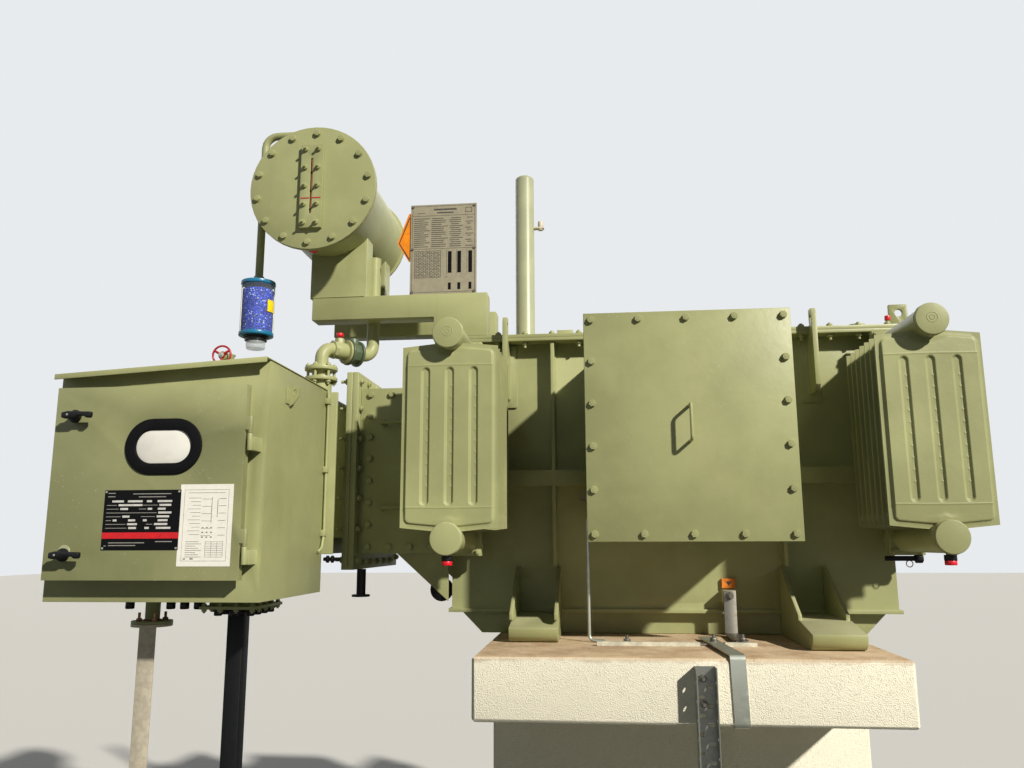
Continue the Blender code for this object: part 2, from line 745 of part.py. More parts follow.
def make_cover():
    length, depth = TANK_LENGTH / 2 + RIM_LIP, TANK_DEPTH / 2 + RIM_LIP
    shapes = [box((-length, -depth, COVER_BOTTOM), (length, depth, COVER_TOP))]
    eye_top = COVER_TOP + COVER_EYE_HEIGHT
    half = COVER_EYE_WIDTH / 2
    cuts = []
    for x in (-length + COVER_EYE_INSET, length - COVER_EYE_INSET):
        outline = [(x - half, COVER_TOP - COVER_THICKNESS / 2),
                   (x + half, COVER_TOP - COVER_THICKNESS / 2), (x + half, eye_top - half / 2),
                   (x + half / 2, eye_top), (x - half / 2, eye_top), (x - half, eye_top - half / 2)]
        reach = COVER_EYE_THICKNESS / 2
        shapes.append(extruded(outline, "xz", -reach, reach))
        cuts.append(cylinder((x, -2 * reach, eye_top - half), (x, 2 * reach, eye_top - half),
                             COVER_EYE_HOLE, 16))
    x, y = length - FILLER_INSET, -depth + FILLER_BACK
    shapes.append(cylinder((x, y, COVER_BOTTOM + COVER_THICKNESS / 2),
                           (x, y, COVER_TOP + FILLER_HEIGHT), FILLER_DIAMETER))
    half = THERMOMETER_SIZE / 2
    shapes.append(box((THERMOMETER_X - half, -depth + half, COVER_TOP - COVER_THICKNESS / 2),
                      (THERMOMETER_X + half, -depth + 3 * half, COVER_TOP + THERMOMETER_HEIGHT)))
    node("tank_cover", PAINT, shapes, cuts)


# Cable boxes

def make_cable_box(end, word):
    middle = BASE + BOX_CENTRE_HEIGHT
    half_width, half_height = BOX_WIDTH / 2, BOX_HEIGHT / 2
    wall = end * (TANK_DEPTH / 2 + GAP)
    face = end * (TANK_DEPTH / 2 + BOX_REACH)
    low, high = sorted((wall, face))
    shapes = [box((BOX_CENTRE - half_width, low, middle - half_height),
                  (BOX_CENTRE + half_width, high, middle + half_height))]
    wide, tall = half_width + BOX_FLANGE_LIP, half_height + BOX_FLANGE_LIP
    low, high = sorted((face - end * BOX_FLANGE_THICKNESS, face))
    shapes.append(box((BOX_CENTRE - wide, low, middle - tall),
                      (BOX_CENTRE + wide, high, middle + tall)))
    node(f"cable_box_{word}", PAINT, shapes)
    near = face + end * GAP
    far = near + end * BOX_COVER_THICKNESS
    low, high = sorted((near, far))
    node(f"cable_box_cover_{word}", PAINT,
         [box((BOX_CENTRE - wide, low, middle - tall), (BOX_CENTRE + wide, high, middle + tall))])
    half = HANDLE_GRIP / 2
    root = far + end * GAP
    out = root + end * HANDLE_STANDOFF
    path = rounded_path([(BOX_CENTRE, root, middle - half), (BOX_CENTRE, out, middle - half),
                         (BOX_CENTRE, out, middle + half), (BOX_CENTRE, root, middle + half)],
                        HANDLE_ROD, 3)
    node(f"cable_box_handle_{word}", PAINT, [swept(path, HANDLE_ROD, 10)])


# Radiators

def panel_columns():
    """(distance across, height as a share of the field, is a groove) along one panel face."""
    half = PANEL_WIDTH / 2
    field = half - PANEL_BORDER - PANEL_SLOPE
    columns = [(-half, 0.0, False), (-half + PANEL_BORDER, 0.0, False), (-field, 1.0, False)]
    flute = 2 * field / PANEL_FLUTES
    for i in range(1, PANEL_FLUTES):
        middle = -field + i * flute
        columns += [(middle - GROOVE_WIDTH / 2, 1.0, False), (middle, 1.0, True),
                    (middle + GROOVE_WIDTH / 2, 1.0, False)]
    return columns + [(-a, b, c) for a, b, c in reversed(columns[:3])]


def plain_lines(length):
    """The same for a face without grooves, along a side of the given length."""
    half = length / 2
    field = half - PANEL_BORDER - PANEL_SLOPE
    return [(-half, 0.0, False), (-field, 1.0, False), (field, 1.0, False), (half, 0.0, False)]


def panel_rows():
    """(height, share of the field, holds the grooves) up one panel face."""
    half = PANEL_HEIGHT / 2
    rows = [(-half, 0.0, False), (-half + PANEL_BORDER, 0.0, False),
            (-half + PANEL_BORDER + PANEL_SLOPE, 1.0, False),
            (-half + GROOVE_END - GROOVE_DEPTH, 1.0, False), (-half + GROOVE_END, 1.0, True)]
    return rows + [(-a, b, c) for a, b, c in reversed(rows)]


def pressed_panel(x, y, z, fluted):
    """Two pressed sheets welded at the edge. Fluted is the side with grooves, or 0."""
    shape = bmesh.new()
    rims = []
    for side in (-1, 1):
        columns = panel_columns() if side == fluted else plain_lines(PANEL_WIDTH)
        rows = panel_rows() if side == fluted else plain_lines(PANEL_HEIGHT)
        grid = []
        for up, row_share, holds in rows:
            line = []
            for across, column_share, groove in columns:
                rise = min(row_share, column_share) * (PANEL_FIELD - PANEL_SEAM) / 2
                if groove and holds:
                    rise -= GROOVE_DEPTH
                depth = side * (PANEL_SEAM / 2 + rise)
                line.append(shape.verts.new((x + across, y + depth, z + up)))
            grid.append(line)
        for low, high in zip(grid, grid[1:]):
            for i in range(len(low) - 1):
                shape.faces.new((low[i], low[i + 1], high[i + 1], high[i]))
        edge = (grid[0] + [line[-1] for line in grid[1:]] + grid[-1][-2::-1]
                + [line[0] for line in grid[-2:0:-1]])
        rims += [shape.edges.get((a, b)) for a, b in zip(edge, edge[1:] + edge[:1])]
    bmesh.ops.bridge_loops(shape, edges=rims)
    bmesh.ops.recalc_face_normals(shape, faces=shape.faces)
    return shape


def make_radiator(name, x, end):
    bottom, top = header_heights()
    middle = (bottom + top) / 2
    wall_face = end * (TANK_DEPTH / 2 + GAP)
    joint = end * (TANK_DEPTH / 2 + FLANGE_REACH)
    half_pair = end * FLANGE_THICKNESS
    outer = TANK_DEPTH / 2 + PANEL_FACE
    cap_face = end * (outer + HEADER_REACH)
    shapes = []
    for z in (top, bottom):
        shapes.append(cylinder((x, wall_face, z), (x, cap_face, z), HEADER_DIAMETER))
        inner = cap_face - end * HEADER_CAP_THICKNESS
        shapes.append(cylinder((x, inner, z), (x, cap_face + end * GAP, z), HEADER_CAP_DIAMETER))
        shapes.append(square_flange(x, z, joint - half_pair, joint + half_pair))
    for i in range(PANEL_COUNT):
        y = end * (outer - PANEL_FIELD / 2 - i * PANEL_PITCH)
        shapes.append(pressed_panel(x, y, middle, end if i == 0 else 0))
    plug_y = cap_face - end * (HEADER_CAP_THICKNESS + DRAIN_PLUG_DIAMETER)
    plug_top = bottom - HEADER_DIAMETER / 2
    shapes.append(cylinder((x, plug_y, plug_top - DRAIN_PLUG_LENGTH), (x, plug_y, bottom),
                           DRAIN_PLUG_DIAMETER, 12))
    node(name, PAINT, shapes)


# Conservator and what stands with it

def beam_centres():
    first = TANK_FRONT - RIM_LIP + BEAM_DEPTH / 2
    return first, first + BEAM_SPACING


def make_beam(y, word):
    """A channel on its side over a short pedestal on the cover, with the saddle on top."""
    low, high = y - BEAM_DEPTH / 2, y + BEAM_DEPTH / 2
    shapes = [box((BEAM_LEFT, low, BEAM_BOTTOM), (BEAM_RIGHT, high, BEAM_TOP))]
    shapes.append(box((BEAM_RIGHT - PEDESTAL_WIDTH, low, COVER_TOP + GAP),
                      (BEAM_RIGHT, high, BEAM_BOTTOM + BEAM_WALL / 2)))
    left = SADDLE_CENTRE - SADDLE_WIDTH / 2
    right = SADDLE_CENTRE + SADDLE_WIDTH / 2
    shapes.append(box((left, low, BEAM_TOP - BEAM_WALL / 2), (right, high, CONSERVATOR_Z)))
    inner = (SADDLE_THICKNESS, SADDLE_THICKNESS)
    hollow = box((left - inner[0], low + SADDLE_THICKNESS, BEAM_TOP + GAP),
                 (right - inner[1], high + SADDLE_THICKNESS, CONSERVATOR_Z + GAP))
    shell = cylinder((CONSERVATOR_X, low - BEAM_DEPTH, CONSERVATOR_Z),
                     (CONSERVATOR_X, high + BEAM_DEPTH, CONSERVATOR_Z),
                     CONSERVATOR_DIAMETER + 2 * GAP, 40)
    web = box((BEAM_LEFT - BEAM_WALL, low + BEAM_WALL, BEAM_BOTTOM + BEAM_WALL),
              (BEAM_RIGHT - BEAM_WALL, high + BEAM_WALL, BEAM_TOP - BEAM_WALL))
    node(f"conservator_beam_{word}", PAINT, shapes, [hollow, shell, web])


def make_conservator():
    radius = CONSERVATOR_DIAMETER / 2
    back = CONSERVATOR_FRONT + CONSERVATOR_LENGTH
    profile = [(END_PLATE_DIAMETER / 2, 0.0), (END_PLATE_DIAMETER / 2, END_PLATE_THICKNESS),
               (radius, END_PLATE_THICKNESS), (radius, CONSERVATOR_LENGTH)]
    for i in range(1, 5):
        angle = math.pi / 2 * i / 5
        profile.append((radius * math.cos(angle),
                        CONSERVATOR_LENGTH + CONSERVATOR_DISH * math.sin(angle)))
    profile.append((0, CONSERVATOR_LENGTH + CONSERVATOR_DISH))
    shell = turned(profile, (CONSERVATOR_X, CONSERVATOR_FRONT, CONSERVATOR_Z), (0, 1, 0), 40)
    ring = cylinder((CONSERVATOR_X, back - END_PLATE_THICKNESS, CONSERVATOR_Z),
                    (CONSERVATOR_X, back, CONSERVATOR_Z),
                    CONSERVATOR_DIAMETER + 2 * END_PLATE_THICKNESS, 40)
    node("conservator", PAINT, [shell, ring])
    front = CONSERVATOR_FRONT - GAP
    node("conservator_end_plate", PAINT,
         [cylinder((CONSERVATOR_X, front - END_PLATE_THICKNESS, CONSERVATOR_Z),
                   (CONSERVATOR_X, front, CONSERVATOR_Z), END_PLATE_DIAMETER, 48)])
    face = front - END_PLATE_THICKNESS - GAP
    half_width, half_height = GAUGE_WIDTH / 2, GAUGE_HEIGHT / 2
    plate = box((CONSERVATOR_X - half_width, face - GAUGE_THICKNESS, CONSERVATOR_Z - half_height),
                (CONSERVATOR_X + half_width, face, CONSERVATOR_Z + half_height))
    half_slot = GAUGE_SLOT / 2
    slot = box((CONSERVATOR_X - half_slot, face - GAUGE_THICKNESS * 2,
                CONSERVATOR_Z - GAUGE_SLOT_HEIGHT / 2),
               (CONSERVATOR_X + half_slot, face - GAUGE_THICKNESS / 2,
                CONSERVATOR_Z + GAUGE_SLOT_HEIGHT / 2))
    node("oil_gauge", PAINT, [plate], [slot])


def make_rating_plate():
    y = beam_centres()[0] - BEAM_DEPTH / 2 + RATING_PLATE_THICKNESS
    half = RATING_PLATE_WIDTH / 2
    low = (RATING_PLATE_CENTRE - half, y - RATING_PLATE_THICKNESS / 2, BEAM_TOP + GAP)
    high = (RATING_PLATE_CENTRE + half, y + RATING_PLATE_THICKNESS / 2,
            BEAM_TOP + RATING_PLATE_HEIGHT)
    node("rating_plate", STEEL, [box(low, high)])


def make_breather():
    top = COVER_TOP + BREATHER_TOP
    radius = BREATHER_DIAMETER / 2
    profile = [
        (0, -BREATHER_HEIGHT - 0.050), (0.020, -BREATHER_HEIGHT - 0.050),
        (0.030, -BREATHER_HEIGHT - 0.020), (radius * 0.8, -BREATHER_HEIGHT - 0.012),
        (radius, -BREATHER_HEIGHT - 0.008), (radius, -BREATHER_HEIGHT + 0.006),
        (radius * 0.92, -BREATHER_HEIGHT + 0.006), (radius * 0.92, -0.014),
        (radius, -0.014), (radius, 0.0), (0, 0.0),
    ]
    node("breather", BEADS, [turned(profile, (BREATHER_X, BREATHER_Y, top), (0, 0, 1), 28)])
    high = CONSERVATOR_Z + CONSERVATOR_DIAMETER / 2 + BREATHER_PIPE_RISE
    start_x = CONSERVATOR_X - CONSERVATOR_DIAMETER / 8
    drop = CONSERVATOR_DIAMETER / 8
    shell_top = CONSERVATOR_Z + math.sqrt((CONSERVATOR_DIAMETER / 2) ** 2 - drop ** 2)
    corners = [(start_x, BREATHER_Y, shell_top - 0.006), (start_x, BREATHER_Y, high),
               (BREATHER_X, BREATHER_Y, high), (BREATHER_X, BREATHER_Y, top + GAP)]
    shell = cylinder((CONSERVATOR_X, BREATHER_Y - BREATHER_PIPE, CONSERVATOR_Z),
                     (CONSERVATOR_X, BREATHER_Y + BREATHER_PIPE, CONSERVATOR_Z),
                     CONSERVATOR_DIAMETER + 2 * GAP, 40)
    node("breather_pipe", PAINT, [swept(rounded_path(corners, 0.045), BREATHER_PIPE)], [shell])


def make_vent_pipe():
    radius = VENT_DIAMETER / 2
    foot = COVER_TOP + GAP
    profile = [(radius * 1.6, 0.0), (radius * 1.6, 0.010), (radius, 0.010),
               (radius, VENT_HEIGHT - radius * 0.5)]
    for i in range(1, 4):
        angle = math.pi / 2 * i / 4
        profile.append((radius * math.cos(angle),
                        VENT_HEIGHT - radius * 0.5 * (1 - math.sin(angle))))
    profile.append((0, VENT_HEIGHT))
    node("vent_pipe", PAINT, [turned(profile, (VENT_X, 0, foot), (0, 0, 1), 28)])


# Tap changer

def make_chamber():
    front, back = chamber_span()
    bottom = BASE + CHAMBER_BOTTOM
    right = -TANK_LENGTH / 2 - GAP
    left = JOINT_FACE + GAP
    shapes = [box((left + JOINT_FLANGE / 2, front, bottom), (right, back, bottom + CHAMBER_HEIGHT))]
    low = BASE + JOINT_BOTTOM
    shapes.append(box((left, JOINT_FRONT, low),
                      (left + JOINT_FLANGE, JOINT_FRONT + JOINT_DEPTH, low + JOINT_HEIGHT)))
    bracket = [(right - CHAMBER_DROP_LENGTH, bottom + JOINT_FLANGE), (right, bottom + JOINT_FLANGE),
               (right, bottom - CHAMBER_DROP), (right - CHAMBER_DROP_LENGTH, bottom)]
    for y in (front + JOINT_FLANGE, back - JOINT_FLANGE):
        shapes.append(extruded(bracket, "xz", y - GUSSET_THICKNESS / 2, y + GUSSET_THICKNESS / 2))
    node("tap_changer_chamber", PAINT, shapes)
    plate_left = left + JOINT_FLANGE + GAP
    face = front - GAP
    node("chamber_inspection_plate", PAINT,
         [box((plate_left, face - CHAMBER_PLATE_THICKNESS, bottom),
              (right - CHAMBER_PLATE_MARGIN, face, bottom + CHAMBER_HEIGHT))])


def make_drain_valve():
    """A flanged valve that faces the front, on a stub from the tank's left wall."""
    x = TANK_LEFT - DRAIN_REACH
    y = TANK_FRONT + DRAIN_BACK
    z = BASE + DRAIN_HEIGHT
    far = y + DRAIN_BODY_LENGTH
    shapes = [cylinder((x, y, z), (x, far, z), DRAIN_PIPE_DIAMETER, 16)]
    shapes.append(cylinder((x, (y + far) / 2, z), (TANK_LEFT - GAP, (y + far) / 2, z),
                           DRAIN_PIPE_DIAMETER * 0.8, 16))
    shapes.append(cylinder((x, y - DRAIN_FLANGE_THICKNESS, z), (x, y, z),
                           DRAIN_FLANGE_DIAMETER, 24))
    node("drain_valve", PAINT, shapes)


def make_switch_tank():
    front = SWITCH_TANK_FRONT
    bottom = BASE + SWITCH_TANK_BOTTOM
    top = bottom + SWITCH_TANK_HEIGHT
    shapes = [box((SWITCH_TANK_LEFT, front + MOUNTING_PLATE_THICKNESS / 2, bottom),
                  (SWITCH_TANK_RIGHT, front + SWITCH_TANK_DEPTH, top))]
    shapes.append(box((CABINET_LEFT, front, bottom),
                      (MOUNTING_PLATE_RIGHT, front + MOUNTING_PLATE_THICKNESS, top)))
    low = BASE + JOINT_BOTTOM
    right = JOINT_FACE - GAP
    inset = JOINT_NECK_INSET_Y
    rise = JOINT_NECK_INSET_Z
    shapes.append(box((SWITCH_TANK_RIGHT - JOINT_FLANGE, JOINT_FRONT + inset, low + rise),
                      (right - JOINT_FLANGE / 2, JOINT_FRONT + JOINT_DEPTH - inset,
                       low + JOINT_HEIGHT - rise)))
    shapes.append(box((right - JOINT_FLANGE, JOINT_FRONT, low),
                      (right, JOINT_FRONT + JOINT_DEPTH, low + JOINT_HEIGHT)))
    node("tap_changer_oil_tank", PAINT, shapes)


# Drive cabinet

def cabinet_top(x):
    share = (x - CABINET_LEFT) / (CABINET_RIGHT - CABINET_LEFT)
    rise = CABINET_HEIGHT_LEFT + share * (CABINET_HEIGHT_RIGHT - CABINET_HEIGHT_LEFT)
    return BASE + CABINET_BOTTOM + rise


def coaming():
    """Low and high corners of the opening's raised edge, outside, as (x, z)."""
    left, right = DOOR_LEFT + DOOR_SKIN * 4, DOOR_RIGHT - DOOR_SKIN * 4
    bottom = BASE + DOOR_BOTTOM + DOOR_SKIN * 4
    top = BASE + DOOR_BOTTOM + DOOR_HEIGHT - DOOR_SKIN * 4
    return (left, bottom), (right, top)


def make_cabinet():
    bottom = BASE + CABINET_BOTTOM
    back = SWITCH_TANK_FRONT - GAP
    outline = [(CABINET_LEFT, bottom), (CABINET_RIGHT, bottom),
               (CABINET_RIGHT, cabinet_top(CABINET_RIGHT)),
               (CABINET_LEFT, cabinet_top(CABINET_LEFT))]
    shapes = [extruded(outline, "xz", CABINET_FRONT, back)]
    (left, low), (right, high) = coaming()
    rim = CABINET_FRONT - COAMING_HEIGHT
    shapes.append(box((left, rim, low), (right, CABINET_FRONT + CABINET_WALL, high)))
    wall = CABINET_WALL
    inside = [(CABINET_LEFT + wall, bottom + wall), (CABINET_RIGHT - wall, bottom + wall),
              (CABINET_RIGHT - wall, cabinet_top(CABINET_RIGHT) - wall),
              (CABINET_LEFT + wall, cabinet_top(CABINET_LEFT) - wall)]
    cuts = [extruded(inside, "xz", CABINET_FRONT + wall, back - wall)]
    edge = COAMING_WALL
    cuts.append(box((left + edge, rim - wall, low + edge),
                    (right - edge, CABINET_FRONT + 2 * wall, high - edge)))
    for height in HINGE_HEIGHTS:
        shapes.append(body_knuckle(height))
        shapes.append(body_leaf(height))
    cuts += [hinge_bore(height) for height in HINGE_HEIGHTS]
    node("cabinet_body", PAINT, shapes, cuts)
    make_roof()
    make_gland_box(bottom)


def knuckle(bottom, top):
    return cylinder((HINGE_X, HINGE_Y, bottom), (HINGE_X, HINGE_Y, top), HINGE_DIAMETER, 16)


def body_knuckle(height):
    middle = BASE + height
    return knuckle(middle - HINGE_LENGTH / 2, middle - PIN_CLEARANCE / 2)


def body_leaf(height):
    """The leaf on the cabinet's front, an angle that reaches out to the knuckle."""
    middle = BASE + height
    out = (HINGE_X - HINGE_LEAF / 2, HINGE_Y, middle - HINGE_LENGTH / 2)
    return box(out, (HINGE_X + HINGE_DIAMETER, CABINET_FRONT + HINGE_LEAF,
                     middle - HINGE_LENGTH / 10))


def hinge_bore(height):
    middle = BASE + height
    return cylinder((HINGE_X, HINGE_Y, middle - HINGE_LENGTH / 4),
                    (HINGE_X, HINGE_Y, middle + HINGE_LENGTH),
                    HINGE_DIAMETER / 2 + 2 * PIN_CLEARANCE, 16)


def make_roof():
    """A folded sheet that slopes to the left and overhangs the door."""
    left, right = CABINET_LEFT - ROOF_LIP_SIDE, CABINET_RIGHT + ROOF_LIP_SIDE
    outline = [(left, cabinet_top(left) + GAP), (right, cabinet_top(right) + GAP),
               (right, cabinet_top(right) + GAP + ROOF_THICKNESS),
               (left, cabinet_top(left) + GAP + ROOF_THICKNESS)]
    front = CABINET_FRONT - ROOF_LIP_FRONT
    shapes = [extruded(outline, "xz", front, SWITCH_TANK_FRONT - GAP)]
    drip = [(left, cabinet_top(left) - ROOF_DRIP), (right, cabinet_top(right) - ROOF_DRIP),
            (right, cabinet_top(right) + ROOF_THICKNESS / 2),
            (left, cabinet_top(left) + ROOF_THICKNESS / 2)]
    shapes.append(extruded(drip, "xz", front, front + ROOF_THICKNESS))
    node("cabinet_roof", PAINT, shapes)


def make_gland_box(bottom):
    x = CABINET_RIGHT - GLAND_BOX_INSET
    y = CABINET_FRONT + GLAND_BOX_BACK
    node("cable_gland_box", PAINT,
         [box((x - GLAND_BOX_WIDTH / 2, y - GLAND_BOX_DEPTH / 2, bottom - GLAND_BOX_HEIGHT),
              (x + GLAND_BOX_WIDTH / 2, y + GLAND_BOX_DEPTH / 2, bottom - GAP))])


def make_door():
    bottom = BASE + DOOR_BOTTOM
    top = bottom + DOOR_HEIGHT
    pan = box((DOOR_LEFT, DOOR_FACE, bottom), (DOOR_RIGHT, DOOR_BACK, top))
    skin = DOOR_SKIN
    hollow = box((DOOR_LEFT + skin, DOOR_FACE + skin, bottom + skin),
                 (DOOR_RIGHT - skin, DOOR_BACK + skin, top - skin))
    shapes, cuts = [pan], [hollow]
    middle = (WINDOW_X, BASE + WINDOW_HEIGHT_AT)
    hole = oval(WINDOW_WIDTH - WINDOW_RING, WINDOW_TALL - WINDOW_RING, middle)
    cuts.append(extruded(hole, "xz", DOOR_FACE - skin, DOOR_BACK))
    pins = []
    for height in HINGE_HEIGHTS:
        level = BASE + height
        pins.append(knuckle(level + PIN_CLEARANCE / 2, level + HINGE_LENGTH / 2))
        pins.append(cylinder((HINGE_X, HINGE_Y, level - HINGE_LENGTH / 5),
                             (HINGE_X, HINGE_Y, level + HINGE_LENGTH / 4), HINGE_DIAMETER / 2, 16))
        pins.append(box((DOOR_RIGHT - skin / 2, DOOR_FACE, level + HINGE_LENGTH / 10),
                        (HINGE_X, DOOR_FACE + HINGE_LEAF, level + HINGE_LENGTH / 2)))
    pivot = (HINGE_X, HINGE_Y, BASE)
    door = node("cabinet_door", PAINT, shapes + pins, cuts, pivot)
    outer = oval(WINDOW_WIDTH, WINDOW_TALL, middle)
    inner = oval(WINDOW_WIDTH - 2 * WINDOW_RING, WINDOW_TALL - 2 * WINDOW_RING, middle)
    through = oval(WINDOW_WIDTH - WINDOW_RING - 4 * GAP, WINDOW_TALL - WINDOW_RING - 4 * GAP, middle)
    front = DOOR_FACE - WINDOW_RING_PROUD
    ring = node("window_seal", RUBBER,
                [extruded(outer, "xz", front, DOOR_FACE - GAP),
                 extruded(through, "xz", front, DOOR_FACE + 2 * skin)],
                [extruded(inner, "xz", front - skin, DOOR_FACE + 4 * skin)], pivot)
    pane_outline = oval(WINDOW_WIDTH - 2 * WINDOW_RING - 4 * GAP,
                        WINDOW_TALL - 2 * WINDOW_RING - 4 * GAP, middle)
    pane = node("window_pane", GLASS,
                [extruded(pane_outline, "xz", DOOR_FACE - GAP,
                          DOOR_FACE - GAP + WINDOW_PANE_THICKNESS)], (), pivot)
    for piece in (ring, pane):
        attach(piece, door)
    for word, height in zip(("upper", "lower"), LATCH_HEIGHTS):
        attach(make_latch(word, BASE + height), door)


def attach(piece, carrier):
    piece.parent = carrier
    piece.matrix_parent_inverse = Matrix.Translation(-carrier.location)


def make_latch(word, z):
    """A quarter-turn lever handle that stands on the door on its spindle."""
    face = DOOR_FACE - GAP
    base = face - LATCH_BASE_THICKNESS
    out = base - LATCH_STANDOFF
    shapes = [cylinder((LATCH_X, base, z), (LATCH_X, face, z), LATCH_BASE_DIAMETER, 20)]
    shapes.append(cylinder((LATCH_X, out - GAP, z), (LATCH_X, base + GAP, z), LATCH_SPINDLE, 16))
    half = LATCH_LEVER_HEIGHT / 2
    outline = [(LATCH_X - LATCH_LEVER_TAIL, z - half * 0.8),
               (LATCH_X + LATCH_LEVER_LENGTH * 0.9, z - half * 0.6),
               (LATCH_X + LATCH_LEVER_LENGTH, z - half * 0.3),
               (LATCH_X + LATCH_LEVER_LENGTH, z + half), (LATCH_X - LATCH_LEVER_TAIL, z + half)]
    shapes.append(extruded(outline, "xz", out - LATCH_LEVER_THICKNESS, out))
    return node(f"latch_handle_{word}", BLACK, shapes, (), (LATCH_X, face, z))


# Valve, pipework and breather side

def make_valve():
    """A valve on the oil tank with its handwheel facing the front."""
    seat = SWITCH_TANK_TOP + GAP
    flange, body = VALVE_FLANGE_DIAMETER / 2, VALVE_BODY_DIAMETER / 2
    profile = [(flange, 0.0), (flange, VALVE_FLANGE_THICKNESS), (body, VALVE_FLANGE_THICKNESS),
               (body, VALVE_HEIGHT), (body * 1.3, VALVE_HEIGHT + VALVE_CAP / 2),
               (0.0, VALVE_HEIGHT + VALVE_CAP)]
    level = seat + VALVE_HEIGHT
    face = VALVE_Y - VALVE_SPINDLE_LENGTH
    node("oil_valve", PAINT, [
        turned(profile, (VALVE_X, VALVE_Y, seat), (0, 0, 1), 20),
        cylinder((VALVE_X, VALVE_Y, level), (VALVE_X, face, level), VALVE_SPINDLE_DIAMETER, 16)])
    hub = face - GAP
    rim = hub - WHEEL_ROD * 0.8
    radius = (WHEEL_DIAMETER - WHEEL_ROD) / 2
    shapes = [cylinder((VALVE_X, hub, level), (VALVE_X, hub - WHEEL_ROD * 1.6, level),
                       WHEEL_HUB, 16)]
    circle = [Vector((VALVE_X + radius * math.cos(a), rim, level + radius * math.sin(a)))
              for a in (2 * math.pi * i / 20 for i in range(20))]
    shapes.append(torus(circle, WHEEL_ROD, 6))
    for i in range(WHEEL_SPOKES):
        angle = -math.pi / 2 + 2 * math.pi * i / WHEEL_SPOKES
        tip = (VALVE_X + radius * math.cos(angle), rim, level + radius * math.sin(angle))
        shapes.append(cylinder((VALVE_X, rim, level), tip, WHEEL_ROD * 0.8, 6))
    node("valve_handwheel", RED, shapes, (), (VALVE_X, hub, level))


def torus(circle, diameter, sides):
    """A round bar along a closed circle of points that faces Y."""
    shape = bmesh.new()
    middle = sum(circle, Vector()) / len(circle)
    rings = []
    for point in circle:
        out = (point - middle).normalized()
        angles = (2 * math.pi * k / sides for k in range(sides))
        rings.append([shape.verts.new(point + (out * math.cos(a) + Vector((0, 1, 0)) * math.sin(a))
                                      * diameter / 2) for a in angles])
    for low, high in zip(rings, rings[1:] + rings[:1]):
        for i in range(sides):
            j = (i + 1) % sides
            shape.faces.new((low[i], low[j], high[j], high[i]))
    bmesh.ops.recalc_face_normals(shape, faces=shape.faces)
    return shape


def make_pipework():
    seat = SWITCH_TANK_TOP + GAP
    run = SWITCH_TANK_TOP + PIPE_RUN_HEIGHT
    bend = PIPE_DIAMETER * 0.9
    rise_top = CONSERVATOR_Z - CONSERVATOR_DIAMETER / 4
    corners = [(PIPE_X, PIPE_Y, seat), (PIPE_X, PIPE_Y, run),
               (PIPE_RISE_X, PIPE_RISE_Y, run + PIPE_RUN_SLOPE), (PIPE_RISE_X, PIPE_RISE_Y, rise_top)]
    shapes = [swept(rounded_path(corners, bend), PIPE_DIAMETER, 16)]
    for low in (seat, seat + 0.030, seat + 0.052):
        shapes.append(cylinder((PIPE_X, PIPE_Y, low),
                               (PIPE_X, PIPE_Y, low + PIPE_FLANGE_THICKNESS),
                               PIPE_FLANGE_DIAMETER, 24))
    start, end = Vector(corners[1]), Vector(corners[2])
    along = (end - start).normalized()
    middle = (start + end) / 2
    shapes.append(cylinder(middle - along * RELAY_LENGTH / 2, middle + along * RELAY_LENGTH / 2,
                           RELAY_DIAMETER, 20))
    shell = cylinder((CONSERVATOR_X, PIPE_RISE_Y - PIPE_DIAMETER, CONSERVATOR_Z),
                     (CONSERVATOR_X, PIPE_RISE_Y + PIPE_DIAMETER, CONSERVATOR_Z),
                     CONSERVATOR_DIAMETER + 2 * GAP, 40)
    node("oil_pipe_and_relay", PAINT, shapes, [shell])


# Posts

def make_posts():
    bottom = BASE + CABINET_BOTTOM
    flange_top = bottom - POST_STUB_LENGTH
    plate = POST_FLANGE_THICKNESS
    node("post_stub", PAINT, [
        cylinder((POST_X, POST_Y, flange_top), (POST_X, POST_Y, bottom - GAP),
                 POST_STUB_DIAMETER, 20),
        cylinder((POST_X, POST_Y, flange_top), (POST_X, POST_Y, flange_top + plate),
                 POST_FLANGE_DIAMETER, 28)])
    half = POST_SIZE / 2
    corner = (POST_X - half, POST_Y - half)
    far = (POST_X + half, POST_Y + half)
    outline = [corner, (far[0], corner[1]), (far[0], corner[1] + POST_WALL),
               (corner[0] + POST_WALL, corner[1] + POST_WALL),
               (corner[0] + POST_WALL, far[1]), (corner[0], far[1])]
    top = flange_top - GAP
    node("cabinet_post", CREAM, [
        extruded(outline, "xy", 0.0, top - plate / 2),
        cylinder((POST_X, POST_Y, top - plate), (POST_X, POST_Y, top),
                 POST_FLANGE_DIAMETER, 28)])
    size = REAR_POST_SIZE / 2
    node("cabinet_post_rear", BLACK,
         [box((REAR_POST_X - size, REAR_POST_Y - size, 0),
              (REAR_POST_X + size, REAR_POST_Y + size, bottom - GAP))])


# Earthing

def make_earthing():
    top = SLAB_TOP + GAP
    half = EARTH_BAR_WIDTH / 2
    thick = EARTH_BAR_THICKNESS
    node("earth_bar", STEEL,
         [box((EARTH_BAR_LEFT, EARTH_BAR_Y - half, top),
              (EARTH_BAR_RIGHT, EARTH_BAR_Y + half, top + thick))])
    face = TANK_FRONT - STIFFENER_DEPTH - GAP
    above = BASE + EARTH_PAD_HEIGHT / 4 + EARTH_BAR_WIDTH
    over = top + thick + GAP
    outline = [(face - thick, above), (face - thick, over + thick), (EARTH_BAR_Y, over + thick),
               (EARTH_BAR_Y, over), (face, over), (face, above)]
    node("earth_link", STEEL,
         [extruded(outline, "yz", EARTH_PAD_X - half, EARTH_PAD_X + half)])
    make_strap()
    make_rod()
    make_rack()


